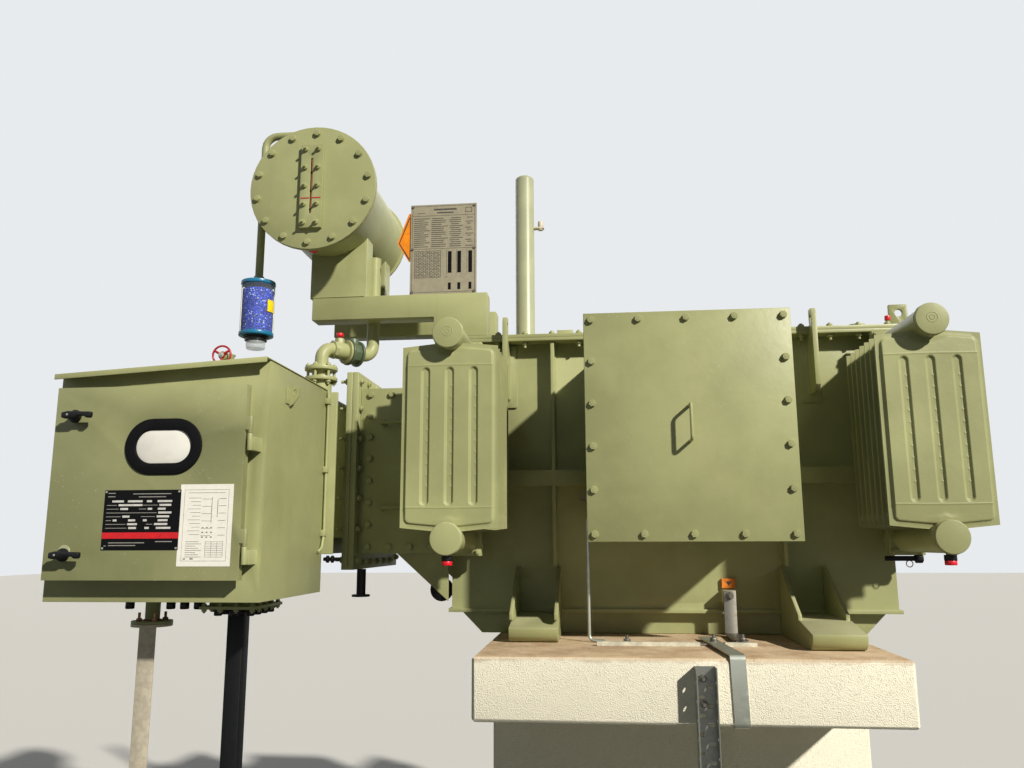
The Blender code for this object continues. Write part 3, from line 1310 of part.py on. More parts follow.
def make_strap():
    """A flat strap over the slab's front edge, back under it and down the pier."""
    top = SLAB_TOP + EARTH_BAR_THICKNESS + 2 * GAP
    front = -SLAB_DEPTH / 2 - GAP
    low = SLAB_BOTTOM - GAP
    pier = -PIER_DEPTH / 2 - GAP
    thick = STRAP_THICKNESS
    start = EARTH_BAR_Y + EARTH_BAR_WIDTH
    outline = [
        (start, top), (front, top), (front, low), (pier - 2 * thick, low), (pier - 2 * thick, 0.0),
        (pier - 3 * thick, 0.0), (pier - 3 * thick, low - thick), (front - thick, low - thick),
        (front - thick, top + thick), (start, top + thick),
    ]
    half = STRAP_WIDTH / 2
    node("earth_strap", STEEL, [extruded(outline, "yz", STRAP_X - half, STRAP_X + half)])


def make_rod():
    """A bent rod that hangs from the front cable box's side and rests on the slab."""
    side = BOX_CENTRE - BOX_WIDTH / 2 - GAP
    level = BASE + BOX_CENTRE_HEIGHT - BOX_HEIGHT / 2 + ROD_DROP
    floor = SLAB_TOP + GAP + ROD_DIAMETER / 2
    corners = [(side, ROD_Y, level), (ROD_X, ROD_Y, level), (ROD_X, ROD_Y, floor),
               (ROD_X + ROD_FOOT[0], ROD_Y - ROD_FOOT[1], floor)]
    node("bent_earth_rod", STEEL, [swept(rounded_path(corners, 0.015, 4), ROD_DIAMETER, 10)])


def make_rack():
    """A slotted channel bolted to the slab's front face, down to the ground."""
    back = -SLAB_DEPTH / 2 - GAP
    front = back - RACK_DEPTH
    left, right = RACK_X - RACK_WIDTH / 2, RACK_X + RACK_WIDTH / 2
    wall = RACK_WALL
    outline = [(left, front), (left + wall, front), (left + wall, back - wall),
               (right - wall, back - wall), (right - wall, front), (right, front),
               (right, back), (left, back)]
    node("slotted_channel", STEEL, [extruded(outline, "xy", 0.0, SLAB_TOP - RACK_DROP)])


def build():
    make_plinth()
    make_base_frame()
    make_tank()
    make_cover()
    make_cable_box(-1, "front")
    make_cable_box(1, "rear")
    for name, x, end in radiator_places():
        make_radiator(name, x, end)
    for y, word in zip(beam_centres(), ("front", "rear")):
        make_beam(y, word)
    make_conservator()
    make_rating_plate()
    make_breather()
    make_vent_pipe()
    make_chamber()
    make_drain_valve()
    make_switch_tank()
    make_cabinet()
    make_door()
    make_valve()
    make_pipework()
    make_posts()
    make_earthing()


clear_scene()
HELPERS = helper_collection()
PAINT = material("olive_paint", (0.25, 0.29, 0.13), 0.42)
PLASTER = material("cream_plaster", (0.78, 0.74, 0.62), 0.9)
STEEL = material("galvanised_steel", (0.48, 0.48, 0.46), 0.45, 0.8)
BLACK = material("black_metal", (0.02, 0.02, 0.02), 0.45)
RUBBER = material("black_rubber", (0.015, 0.015, 0.015), 0.6)
GLASS = material("clear_glass", (0.75, 0.80, 0.85), 0.1)
BEADS = material("breather_blue", (0.12, 0.24, 0.48), 0.2)
CREAM = material("cream_paint", (0.72, 0.70, 0.62), 0.5)
RED = material("red_paint", (0.60, 0.02, 0.02), 0.4)
build()
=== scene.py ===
"""Dresses a power transformer on its plinth: paint, pressed radiators, bolts, plates, plaster.

Runs round the packed model, whose pieces it paints, softens or replaces with finer ones.
"""

import json
import math

import bmesh
import bpy
from mathutils import Matrix, Vector


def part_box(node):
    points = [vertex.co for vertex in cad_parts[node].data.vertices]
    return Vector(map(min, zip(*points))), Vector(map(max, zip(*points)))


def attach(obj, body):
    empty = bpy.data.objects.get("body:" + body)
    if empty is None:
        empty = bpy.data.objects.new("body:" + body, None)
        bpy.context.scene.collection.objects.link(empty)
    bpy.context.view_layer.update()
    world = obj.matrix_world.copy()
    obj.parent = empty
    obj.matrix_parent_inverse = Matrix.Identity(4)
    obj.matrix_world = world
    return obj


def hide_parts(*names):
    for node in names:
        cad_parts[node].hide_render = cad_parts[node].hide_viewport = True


bl_info = {
    "name": "Power Transformer",
    "version": (1, 0, 0),
    "blender": (4, 5, 0),
    "location": "View3D > Sidebar > Transformer",
    "description": "Dresses a packed power transformer and sets up a studio for it",
    "category": "Object",
}

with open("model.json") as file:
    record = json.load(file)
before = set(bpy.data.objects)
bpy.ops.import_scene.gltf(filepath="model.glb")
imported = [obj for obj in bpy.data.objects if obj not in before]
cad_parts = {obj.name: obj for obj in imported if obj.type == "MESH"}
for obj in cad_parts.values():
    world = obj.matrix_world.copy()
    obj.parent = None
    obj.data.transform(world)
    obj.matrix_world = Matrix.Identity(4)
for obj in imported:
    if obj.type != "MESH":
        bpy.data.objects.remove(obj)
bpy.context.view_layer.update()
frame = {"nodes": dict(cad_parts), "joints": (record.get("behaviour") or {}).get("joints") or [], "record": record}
NODES = frame["nodes"]


def span(name):
    """Lowest corner, highest corner and middle of a solid of the packed model."""
    low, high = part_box(name)
    return low, high, (low + high) / 2


# Materials

class Value:
    """A socket that arithmetic can be written with."""

    def __init__(self, nodes, socket):
        self.nodes = nodes
        self.socket = socket

    def combined(self, operation, *others):
        inputs = dict(enumerate((self, *others)))
        return self.nodes.node("ShaderNodeMath", inputs, operation=operation)

    def __add__(self, other):
        return self.combined("ADD", other)

    def __mul__(self, other):
        return self.combined("MULTIPLY", other)

    def __sub__(self, other):
        return self.combined("SUBTRACT", other)

    def __rsub__(self, other):
        return self * -1.0 + other

    __radd__ = __add__
    __rmul__ = __mul__

    def clamped(self):
        return self.nodes.node("ShaderNodeClamp", {"Value": self})

    def over(self, low, high):
        """0 below low, 1 above high and smooth between."""
        inputs = {"Value": self, "From Min": low, "From Max": high}
        return self.nodes.node("ShaderNodeMapRange", inputs, interpolation_type="SMOOTHSTEP")


class Nodes:
    """A node tree, with one method that makes every node."""

    def __init__(self, tree):
        self.tree = tree

    def node(self, kind, inputs, output=0, **settings):
        made = self.tree.nodes.new(kind)
        for key, value in settings.items():
            setattr(made, key, value)
        for key, value in inputs.items():
            self.feed(made.inputs[key], value)
        return Value(self, made.outputs[output])

    def feed(self, socket, value):
        if isinstance(value, Value):
            self.tree.links.new(value.socket, socket)
        else:
            socket.default_value = value


class Finish(Nodes):
    """A material whose nodes feed one principled shader."""

    def __init__(self, name, colour, roughness, metallic=0.0, specular=0.5):
        self.material = bpy.data.materials.new(name)
        self.material.use_nodes = True
        self.material.diffuse_color = (*colour, 1.0)
        super().__init__(self.material.node_tree)
        self.shader = self.tree.nodes["Principled BSDF"]
        self.put("Base Color", (*colour, 1.0))
        self.put("Roughness", roughness)
        self.put("Metallic", metallic)
        self.put("Specular IOR Level", specular)
        self.place = self.node("ShaderNodeTexCoord", {}, "Object")

    def put(self, name, value):
        self.feed(self.shader.inputs[name], value)

    def noise(self, scale, detail=3.0, roughness=0.55, place=None):
        inputs = {"Vector": place or self.place, "Scale": scale, "Detail": detail,
                  "Roughness": roughness}
        return self.node("ShaderNodeTexNoise", inputs)

    def cells(self, scale, output="Distance"):
        inputs = {"Vector": self.place, "Scale": scale}
        return self.node("ShaderNodeTexVoronoi", inputs, output)

    def stretched(self, scale):
        return self.node("ShaderNodeMapping", {"Vector": self.place, "Scale": scale})

    def mixed(self, factor, first, second):
        """Blend of two colours; a plain colour has three numbers."""
        first, second = ((*c, 1.0) if isinstance(c, tuple) else c for c in (first, second))
        return self.node("ShaderNodeMix", {0: factor, 6: first, 7: second}, 2, data_type="RGBA")

    def along_z(self, vector):
        return self.node("ShaderNodeSeparateXYZ", {"Vector": vector}, "Z")

    def facing_up(self):
        """The upward part of the surface's normal."""
        return self.along_z(self.node("ShaderNodeNewGeometry", {}, "Normal"))

    def bump(self, height, distance, strength):
        inputs = {"Height": height, "Distance": distance, "Strength": strength}
        self.put("Normal", self.node("ShaderNodeBump", inputs))


def linear(red, green, blue):
    """A colour written as 0 to 255 in the usual display curve, made linear."""
    return tuple((c / 255 / 12.92) if c / 255 <= 0.04045 else ((c / 255 + 0.055) / 1.055) ** 2.4
                 for c in (red, green, blue))


def olive_paint(sizes, name="olive_paint", share=1.0):
    """Brushed and sprayed enamel: slightly uneven tone, orange peel, dust on flat tops."""
    colour = tuple(c * share for c in sizes.paint)
    made = Finish(name, colour, 0.4, specular=0.3)
    darker = tuple(c * 0.86 for c in colour)
    paler = tuple(min(1.0, c * 1.08 + 0.006) for c in colour)
    dust = linear(186, 178, 150)
    broad = made.noise(2.3, 4.0, 0.6)
    fine = made.noise(38.0, 3.0, 0.6)
    streaks = made.noise(1.0, 3.0, 0.6, made.stretched((14.0, 14.0, 1.1)))
    tone = made.mixed(broad.over(0.36, 0.66), darker, paler)
    tone = made.mixed(streaks.over(0.52, 0.74) * 0.3, tone, darker)
    veil = made.noise(3.4, 6.0, 0.68, made.stretched((1.0, 1.0, 0.45))).over(0.53, 0.78)
    tone = made.mixed(veil * 0.26, tone, tuple(c * share for c in linear(184, 166, 122)))
    specks = (1.0 - made.cells(62.0).over(0.06, 0.15)) * made.noise(7.0).over(0.42, 0.62)
    tone = made.mixed(specks * 0.55, tone, dust)
    settled = made.facing_up().over(0.45, 0.95) * (fine * 0.5 + 0.45) * broad.over(0.25, 0.6)
    tone = made.mixed((settled * 0.62).clamped(), tone, dust)
    made.put("Base Color", tone)
    made.put("Roughness", fine * 0.14 + 0.34 + settled * 0.25 + veil * 0.12)
    peel = made.noise(260.0, 2.0, 0.5) * 0.5 + made.noise(60.0, 2.0, 0.5) + specks * 0.25
    made.bump(peel, 0.0009, 0.32)
    return made.material


def plaster(sizes):
    """Thrown cream plaster, with cement showing on level tops and dirt below the edge."""
    colour = tuple(sizes.plaster)
    made = Finish("cream_plaster", colour, 0.92)
    cement = linear(214, 190, 154)
    dirt = linear(172, 142, 108)
    broad = made.noise(3.1, 5.0, 0.62)
    grit = made.noise(270.0, 4.0, 0.6)
    lumps = made.cells(330.0)
    tone = made.mixed(broad.over(0.35, 0.72) * 0.5, colour, tuple(c * 0.9 for c in colour))
    pits = (1.0 - lumps.over(0.1, 0.42)) * made.noise(110.0, 3.0).over(0.4, 0.62)
    tone = made.mixed(pits * 0.5, tone, tuple(c * 0.62 for c in colour))
    edge = made.along_z(made.place).over(SLAB_TOP - 0.03, SLAB_TOP - 0.004)
    ragged = (edge + (made.noise(16.0, 4.0) - 0.5) * 1.4).over(0.55, 1.0)
    tone = made.mixed(ragged * 0.42, tone, dirt)
    top = made.facing_up().over(0.55, 0.9)
    worn = made.mixed(made.noise(7.0, 6.0, 0.7).over(0.35, 0.7), cement, dirt)
    worn = made.mixed(made.noise(21.0, 4.0).over(0.56, 0.72) * 0.6, worn, linear(206, 190, 166))
    tone = made.mixed(top, tone, worn)
    made.put("Base Color", tone)
    made.put("Roughness", grit * 0.1 + 0.86)
    made.bump(grit * 0.6 + lumps * 0.6 + broad * 0.3 - pits * 0.6, 0.0026, 0.75)
    return made.material


def galvanised(name, colour, rust_share):
    """Dull zinc with its spangle, and rust where the clouds are thickest."""
    made = Finish(name, colour, 0.45, 0.75)
    strength = min(1.0, rust_share * 4)
    spangle = made.cells(75.0, output="Color")
    grey = made.node("ShaderNodeSeparateColor", {"Color": spangle}, output="Red")
    cloud = made.noise(24.0, 4.0, 0.65)
    tone = made.mixed(grey * 0.45, colour, tuple(c * 0.66 for c in colour))
    tone = made.mixed(cloud.over(0.5, 0.75) * 0.5, tone, tuple(min(1, c * 1.25) for c in colour))
    rust = cloud.over(0.62 - rust_share, 0.72 - rust_share * 0.6)
    tone = made.mixed(rust * strength, tone, linear(122, 74, 46))
    made.put("Base Color", tone)
    made.put("Metallic", (1.0 - rust * strength) * 0.75)
    made.put("Roughness", grey * 0.14 + 0.36 + rust * 0.2)
    made.bump(cloud * 0.6 + made.noise(190.0) * 0.4, 0.0006, 0.4)
    return made.material


def plain(name, colour, roughness, metallic=0.0, mottle=0.12, scale=60.0, specular=0.5):
    """A finish with a little unevenness in tone and shine."""
    made = Finish(name, colour, roughness, metallic, specular)
    cloud = made.noise(scale, 4.0, 0.6)
    tone = made.mixed(cloud.over(0.35, 0.7), tuple(c * (1 - mottle) for c in colour),
                      tuple(min(1.0, c * (1 + mottle)) for c in colour))
    made.put("Base Color", tone)
    made.put("Roughness", cloud * 0.2 + (roughness - 0.1))
    made.bump(made.noise(scale * 6, 2.0), 0.0004, 0.25)
    return made.material


def clear(name, colour, roughness, alpha):
    """Glass or clear plastic with a few smears."""
    made = Finish(name, colour, roughness)
    made.put("Alpha", alpha)
    made.put("IOR", 1.46)
    smear = made.noise(25.0, 4.0, 0.6)
    made.put("Roughness", smear * 0.12 + roughness)
    return made.material


def beads_finish():
    """Blue drying beads, each of its own tone."""
    made = Finish("drying_beads", linear(70, 95, 190), 0.5, specular=0.15)
    tint = made.cells(210.0, output="Color")
    pick = made.node("ShaderNodeSeparateColor", {"Color": tint}, output="Green")
    tone = made.mixed(pick, linear(6, 26, 168), linear(74, 112, 246))
    tone = made.mixed((pick - 0.9).over(0.0, 0.05), tone, linear(170, 190, 250))
    # Painted shade: each bead darkens towards its rim, where the beads meet.
    edge = made.cells(210.0).over(0.35, 0.75)
    tone = made.mixed(edge * 0.85, tone, linear(4, 10, 66))
    made.put("Base Color", tone)
    made.bump(1.0 - made.cells(210.0), 0.002, 0.8)
    return made.material


FINISHES = {}

# Colour, roughness and what else differs from the usual
PLAIN_FINISHES = {
    # A paler olive: on the vent pipe it is painted sunlight and sky reflection; it is also the lower latch's rose.
    "olive_pale": ((164, 167, 132), 0.36, {"mottle": 0.06, "scale": 9}),
    "black_metal": ((15, 16, 17), 0.5, {"specular": 0.2}),
    "black_rubber": ((9, 9, 10), 0.6, {"specular": 0.12}),
    "black_plastic": ((16, 16, 18), 0.35, {"specular": 0.25}),
    "breather_blue": ((14, 108, 146), 0.3, {}),
    "cream_paint": ((204, 194, 172), 0.5, {}),
    "red_paint": ((170, 22, 34), 0.35, {}),
    "red_plastic": ((222, 20, 40), 0.32, {}),
    "orange_enamel": ((240, 140, 20), 0.35, {}),
    "yellow_film": ((244, 208, 20), 0.4, {}),
    "white_paper": ((236, 233, 222), 0.75, {"mottle": 0.03}),
    "dark_ink": ((60, 58, 54), 0.7, {}),
    "pale_ink": ((205, 203, 196), 0.5, {}),
    "grey_ink": ((146, 143, 136), 0.6, {}),
    "etched_plate": ((158, 150, 126), 0.45, {"metallic": 0.15, "mottle": 0.07}),
    "etched_ink": ((70, 66, 58), 0.6, {}),
    "black_enamel": ((9, 9, 10), 0.4, {"specular": 0.12}),
    "red_enamel": ((205, 18, 26), 0.3, {}),
    "frosted_sheet": ((226, 224, 214), 0.3, {"mottle": 0.03, "scale": 30}),
    "copper_float": ((172, 104, 62), 0.45, {}),
    "pale_steel": ((206, 203, 182), 0.5, {"metallic": 0.2, "mottle": 0.2, "scale": 30}),
    "rust_orange": ((226, 128, 28), 0.6, {"mottle": 0.2, "scale": 90}),
    # Painted shade: the relay's darker olive stands in for the shadow it sits in.
    "relay_shade_olive": ((84, 98, 74), 0.42, {"mottle": 0.1}),
}
# Colour and share of rust of each zinc coat
STEEL_FINISHES = {
    "galvanised_steel": ((180, 183, 170), 0.0), "weathered_steel": ((122, 119, 108), 0.12),
    "channel_steel": ((146, 147, 138), 0.0), "rusty_steel": ((150, 112, 80), 0.2),
}


def by_item(groups):
    """Turns groups, each a string of words, into a table from word to group."""
    return {word: group for group, words in groups.items() for word in words.split()}


# Packed solids that aren't plain olive, by finish
NODE_FINISH = by_item({
    "cream_plaster": "plinth_pier plinth_slab",
    "galvanised_steel": "rating_plate earth_strap bent_earth_rod slotted_channel",
    "weathered_steel": "earth_bar earth_link",
    "black_plastic": "latch_handle_upper latch_handle_lower",
    "black_metal": "cabinet_post_rear drain_valve",
    "black_rubber": "window_seal", "frosted_sheet": "window_pane",
    "breather_blue": "breather", "cream_paint": "cabinet_post",
    # The vent pipe's paler olive is painted sunlight and sky reflection.
    "red_paint": "valve_handwheel", "olive_pale": "vent_pipe", "olive_door": "cabinet_door",
})


def settings():
    return bpy.context.scene.transformer


def paint_nodes():
    """Makes every finish and gives each packed solid its own."""
    sizes = settings()
    FINISHES.update({
        "olive_paint": olive_paint(sizes), "olive_door": olive_paint(sizes, "olive_door", 0.76),
        "cream_plaster": plaster(sizes), "drying_beads": beads_finish(),
        "clear_glass": clear("clear_glass", linear(225, 232, 236), 0.04, 0.07),
        "cup_glass": clear("cup_glass", linear(196, 204, 204), 0.08, 0.42),
    })
    for name, (colour, rust_share) in STEEL_FINISHES.items():
        FINISHES[name] = galvanised(name, linear(*colour), rust_share)
    for name, (colour, roughness, others) in PLAIN_FINISHES.items():
        FINISHES[name] = plain(name, linear(*colour), roughness, **others)
    for name, node in NODES.items():
        node.data.materials.clear()
        node.data.materials.append(FINISHES[NODE_FINISH.get(name, "olive_paint")])


BODIES = {node: body for body, nodes in frame["record"]["behaviour"]["bodies"].items()
          for node in nodes}
SLAB_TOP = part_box("plinth_slab")[1].z


# Modelling helpers

def deselect():
    if bpy.context.object and bpy.context.object.mode != "OBJECT":
        bpy.ops.object.mode_set(mode="OBJECT")
    bpy.ops.object.select_all(action="DESELECT")


def activate(*pieces):
    deselect()
    for piece in pieces:
        piece.select_set(True)
    bpy.context.view_layer.objects.active = pieces[0]


def settle(piece):
    """Puts the piece's place into its mesh."""
    activate(piece)
    bpy.ops.object.transform_apply(location=True, rotation=True, scale=True)
    return piece


def edged(piece, edge, rounds):
    return bevelled(piece, edge, rounds) if edge else piece


def block(low, high, edge=0, rounds=2):
    """A cube primitive between two corners, with rounded edges if asked."""
    low, high = Vector(low), Vector(high)
    deselect()
    bpy.ops.mesh.primitive_cube_add(size=1, location=(low + high) / 2, scale=high - low)
    return edged(settle(bpy.context.object), edge, rounds)


def upright_grid(centre, width, height, across, up):
    """A grid primitive that faces the front."""
    deselect()
    bpy.ops.mesh.primitive_grid_add(x_subdivisions=across, y_subdivisions=up, size=1,
                                    location=centre, rotation=(math.pi / 2, 0, 0))
    bpy.context.object.scale = (width, height, 1)
    return settle(bpy.context.object)


def rod(start, end, diameter, sides=32, edge=0, rounds=2):
    """A cylinder primitive between two points, with rounded ends if asked."""
    start, end = Vector(start), Vector(end)
    run = end - start
    deselect()
    bpy.ops.mesh.primitive_cylinder_add(vertices=sides, radius=diameter / 2, depth=run.length,
                                        location=(start + end) / 2,
                                        rotation=run.to_track_quat("Z", "Y").to_euler())
    return edged(settle(bpy.context.object), edge, rounds)


def upright(x, y, start, end, *shape):
    """A rod along Z."""
    return rod((x, y, start), (x, y, end), *shape)


def level(x, z, start, end, *shape):
    """A rod along Y."""
    return rod((x, start, z), (x, end, z), *shape)


def ring(centre, diameter, thickness, axis=(0, 1, 0), sides=40):
    """A torus primitive round an axis."""
    deselect()
    turn = Vector(axis).to_track_quat("Z", "Y").to_euler()
    bpy.ops.mesh.primitive_torus_add(location=centre, rotation=turn, major_segments=sides,
                                     minor_segments=10, major_radius=diameter / 2,
                                     minor_radius=thickness / 2)
    return settle(bpy.context.object)


def plate(outline, plane, start, end):
    """A face over the outline, extruded along the axis that its plane lacks."""
    places = {"yz": lambda a, b, c: (c, a, b), "xz": lambda a, b, c: (a, c, b),
              "xy": lambda a, b, c: (a, b, c)}[plane]
    mesh = bpy.data.meshes.new("outline")
    mesh.from_pydata([places(a, b, start) for a, b in outline], [], [range(len(outline))])
    made = bpy.data.objects.new("outline", mesh)
    bpy.context.collection.objects.link(made)
    activate(made)
    bpy.ops.object.mode_set(mode="EDIT")
    bpy.ops.mesh.select_all(action="SELECT")
    travel = Vector(places(0, 0, end)) - Vector(places(0, 0, start))
    bpy.ops.mesh.extrude_region_move(TRANSFORM_OT_translate={"value": travel})
    bpy.ops.mesh.select_all(action="SELECT")
    bpy.ops.mesh.normals_make_consistent(inside=False)
    bpy.ops.object.mode_set(mode="OBJECT")
    return made


def bent_rod(points, diameter, sides=12):
    """A bevelled curve through the points, made a mesh."""
    data = bpy.data.curves.new("run", "CURVE")
    data.dimensions = "3D"
    data.bevel_depth = diameter / 2
    data.bevel_resolution = sides // 4
    data.use_fill_caps = True
    line = data.splines.new("POLY")
    line.points.add(len(points) - 1)
    for spot, point in zip(line.points, points):
        spot.co = (*point, 1.0)
    made = bpy.data.objects.new("run", data)
    bpy.context.collection.objects.link(made)
    activate(made)
    bpy.ops.object.convert(target="MESH")
    made = bpy.context.object
    smooth(made, 50)
    return made


def arc_path(corners, bend, steps=6):
    """The corners of a run with a rounded bend at each inner corner."""
    points = [Vector(corners[0])]
    for before, corner, after in zip(corners, corners[1:], corners[2:]):
        corner = Vector(corner)
        back = (Vector(before) - corner).normalized()
        onward = (Vector(after) - corner).normalized()
        half = back.angle(onward) / 2
        reach = bend / math.tan(half)
        centre = corner + (back + onward).normalized() * bend / math.sin(half)
        first = corner + back * reach - centre
        sweep = first.rotation_difference(corner + onward * reach - centre)
        for i in range(steps + 1):
            turn = Matrix.Rotation(sweep.angle * i / steps, 3, sweep.axis)
            points.append(centre + turn @ first)
    points.append(Vector(corners[-1]))
    return points


def smooth(piece, degrees=35):
    activate(piece)
    bpy.ops.object.shade_smooth_by_angle(angle=math.radians(degrees))
    return piece


def bevelled(piece, width, segments=2, degrees=35):
    """Rounds the piece's sharp edges."""
    activate(piece)
    made = piece.modifiers.new("edges", "BEVEL")
    made.width = width
    made.segments = segments
    made.limit_method = "ANGLE"
    made.angle_limit = math.radians(degrees)
    bpy.ops.object.modifier_apply(modifier=made.name)
    return smooth(piece)


def cut(piece, *cutters):
    """Takes the cutters' shapes out of the piece."""
    for cutter in cutters:
        activate(piece)
        made = piece.modifiers.new("cut", "BOOLEAN")
        made.operation = "DIFFERENCE"
        made.object = cutter
        bpy.ops.object.modifier_apply(modifier=made.name)
        bpy.data.objects.remove(cutter)
    return piece


def joined(pieces):
    """The pieces as one object, which keeps the first one's place."""
    activate(*pieces)
    if len(pieces) > 1:
        bpy.ops.object.join()
    return bpy.context.object


def hand_over(pieces, name, finish, body="main", replaces=()):
    """Joins and names what is finished, paints it and lets it ride on its body."""
    piece = joined(pieces) if isinstance(pieces, list) else pieces
    piece.name = name
    piece.data.name = name
    piece.data.materials.clear()
    piece.data.materials.append(FINISHES[finish])
    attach(piece, body)
    if replaces:
        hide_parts(*replaces)
    return piece


def copied(template, places):
    """One mesh that holds the template once at each place, a 4x4 matrix each."""
    made = []
    for place in places:
        piece = template.copy()
        piece.data = template.data.copy()
        piece.data.transform(place)
        bpy.context.collection.objects.link(piece)
        made.append(piece)
    bpy.data.objects.remove(template)
    return joined(made)


def towards(point, axis, spin=0.0):
    """Places a template, modelled up +Z at the origin, at a point and along an axis."""
    turn = Vector(axis).to_track_quat("Z", "Y").to_matrix().to_4x4()
    return Matrix.Translation(point) @ turn @ Matrix.Rotation(spin, 4, "Z")


def stadium(width, tall, centre, steps=18):
    """A slot's outline: straight top and bottom, round ends."""
    radius, half = tall / 2, (width - tall) / 2
    points = []
    for side in (1, -1):
        for i in range(steps + 1):
            angle = side * math.pi / 2 - math.pi * i / steps
            points.append((centre[0] + side * half + radius * math.cos(angle),
                           centre[1] + radius * math.sin(angle)))
    return points


FORWARD, UP, DOWN, RIGHT, LEFT = (0, -1, 0), (0, 0, 1), (0, 0, -1), (1, 0, 0), (-1, 0, 0)


def bolt_template(size, stud, washer):
    """A hexagon head or nut with its washer and the end of the thread, up +Z."""
    tall = size * 0.65
    low = size * 0.2 if washer else 0.0
    parts = [upright(0, 0, -0.0005, low, size * 2.0, 20)] if washer else []
    head = upright(0, 0, low - 0.0002, low + tall, size * 1.6 * 1.1547, 6)
    parts.append(bevelled(head, size * 0.08, 1, 50))
    if stud:
        parts.append(upright(0, 0, low, low + tall + stud, size * 0.9, 12))
    else:
        parts.append(upright(0, 0, low + tall - 0.0002, low + tall + size * 0.05, size * 0.8, 12))
    return smooth(joined(parts))


def bolts(name, spots, axis, size=0.012, stud=0.0, finish="olive_paint", body="main",
          washer=True):
    """A group of bolts at the spots, each turned a little differently."""
    template = bolt_template(size, stud, washer)
    places = [towards(spot, axis, 1.7 * i) for i, spot in enumerate(spots)]
    return hand_over(copied(template, places), name, finish, body)


def border(low, high, inset, across, up):
    """Evenly spaced spots round a rectangle, as pairs: across and up count the bolts."""
    left, right = low[0] + inset, high[0] - inset
    bottom, top = low[1] + inset, high[1] - inset
    spots = []
    for i in range(across):
        a = left + (right - left) * i / (across - 1)
        spots += [(a, bottom), (a, top)]
    for i in range(1, up - 1):
        b = bottom + (top - bottom) * i / (up - 1)
        spots += [(left, b), (right, b)]
    return spots


def circle(x, y, radius, angles):
    return [(x + radius * math.cos(a), y + radius * math.sin(a)) for a in angles]


# Painted steel: the packed solids with their edges rounded

SOFT_EDGES = {
    "tank": 0.0014, "tank_rim": 0.0015, "tank_cover": 0.0015, "base_frame": 0.0018,
    "cable_box_front": 0.0014, "cable_box_rear": 0.0014, "cable_box_cover_front": 0.0018,
    "cable_box_cover_rear": 0.0018, "tap_changer_chamber": 0.0015,
    "chamber_inspection_plate": 0.0018, "tap_changer_oil_tank": 0.0018,
    "cabinet_body": 0.0009, "cabinet_roof": 0.0008, "cabinet_door": 0.0012,
    "conservator_beam_front": 0.0016, "conservator_beam_rear": 0.0016,
    "conservator_end_plate": 0.0012, "oil_gauge": 0.0012,
    "cabinet_post": 0.001, "cabinet_post_rear": 0.002,
    "conservator": 0.001, "vent_pipe": 0.0008, "breather_pipe": 0.0008, "post_stub": 0.001,
    "oil_valve": 0.0008, "drain_valve": 0.0008, "cable_box_handle_front": 0.001,
    "cable_box_handle_rear": 0.001,
    "earth_bar": 0.0008, "earth_link": 0.0008, "plinth_slab": 0.003, "plinth_pier": 0.005,
}


def soften(node, width):
    """A copy of a packed solid, its loose triangles merged and its edges rounded."""
    source = NODES[node]
    piece = source.copy()
    piece.data = source.data.copy()
    piece.parent = None
    for key in list(piece.keys()):
        del piece[key]
    bpy.context.collection.objects.link(piece)
    piece.hide_render = False
    piece.hide_viewport = False
    activate(piece)
    bpy.ops.object.mode_set(mode="EDIT")
    bpy.ops.mesh.select_all(action="SELECT")
    bpy.ops.mesh.remove_doubles(threshold=0.00002)
    bpy.ops.mesh.dissolve_limited(angle_limit=math.radians(0.5))
    bpy.ops.object.mode_set(mode="OBJECT")
    bevelled(piece, width, 2, 42)
    hand_over(piece, node + "_painted", NODE_FINISH.get(node, "olive_paint"),
              BODIES[node], (node,))



def soften_all():
    for node, width in SOFT_EDGES.items():
        soften(node, width)


# Radiators

def smoothstep(value):
    value = min(max(value, 0.0), 1.0)
    return value * value * (3 - 2 * value)


PANEL_COUNT = 7
PANEL_PITCH = 0.048
HEADER_DIAMETER = 0.0889
TOP_HEADER = 2.228          # height of the top header pipes
HEADER_HALF = 0.3085        # half the distance between a radiator's two header pipes
GROOVE_HALF = 0.015        # half a groove's width
SPOT_PITCH = 0.034          # between the weld spots on a groove's floor
HEADER_FLANGE = 0.109       # side of the square flanges on a header pipe
HEADER_FLANGE_THICKNESS = 0.0136


def evenly(start, stop, step):
    return [start + i * step for i in range(math.ceil((stop - start) / step))]


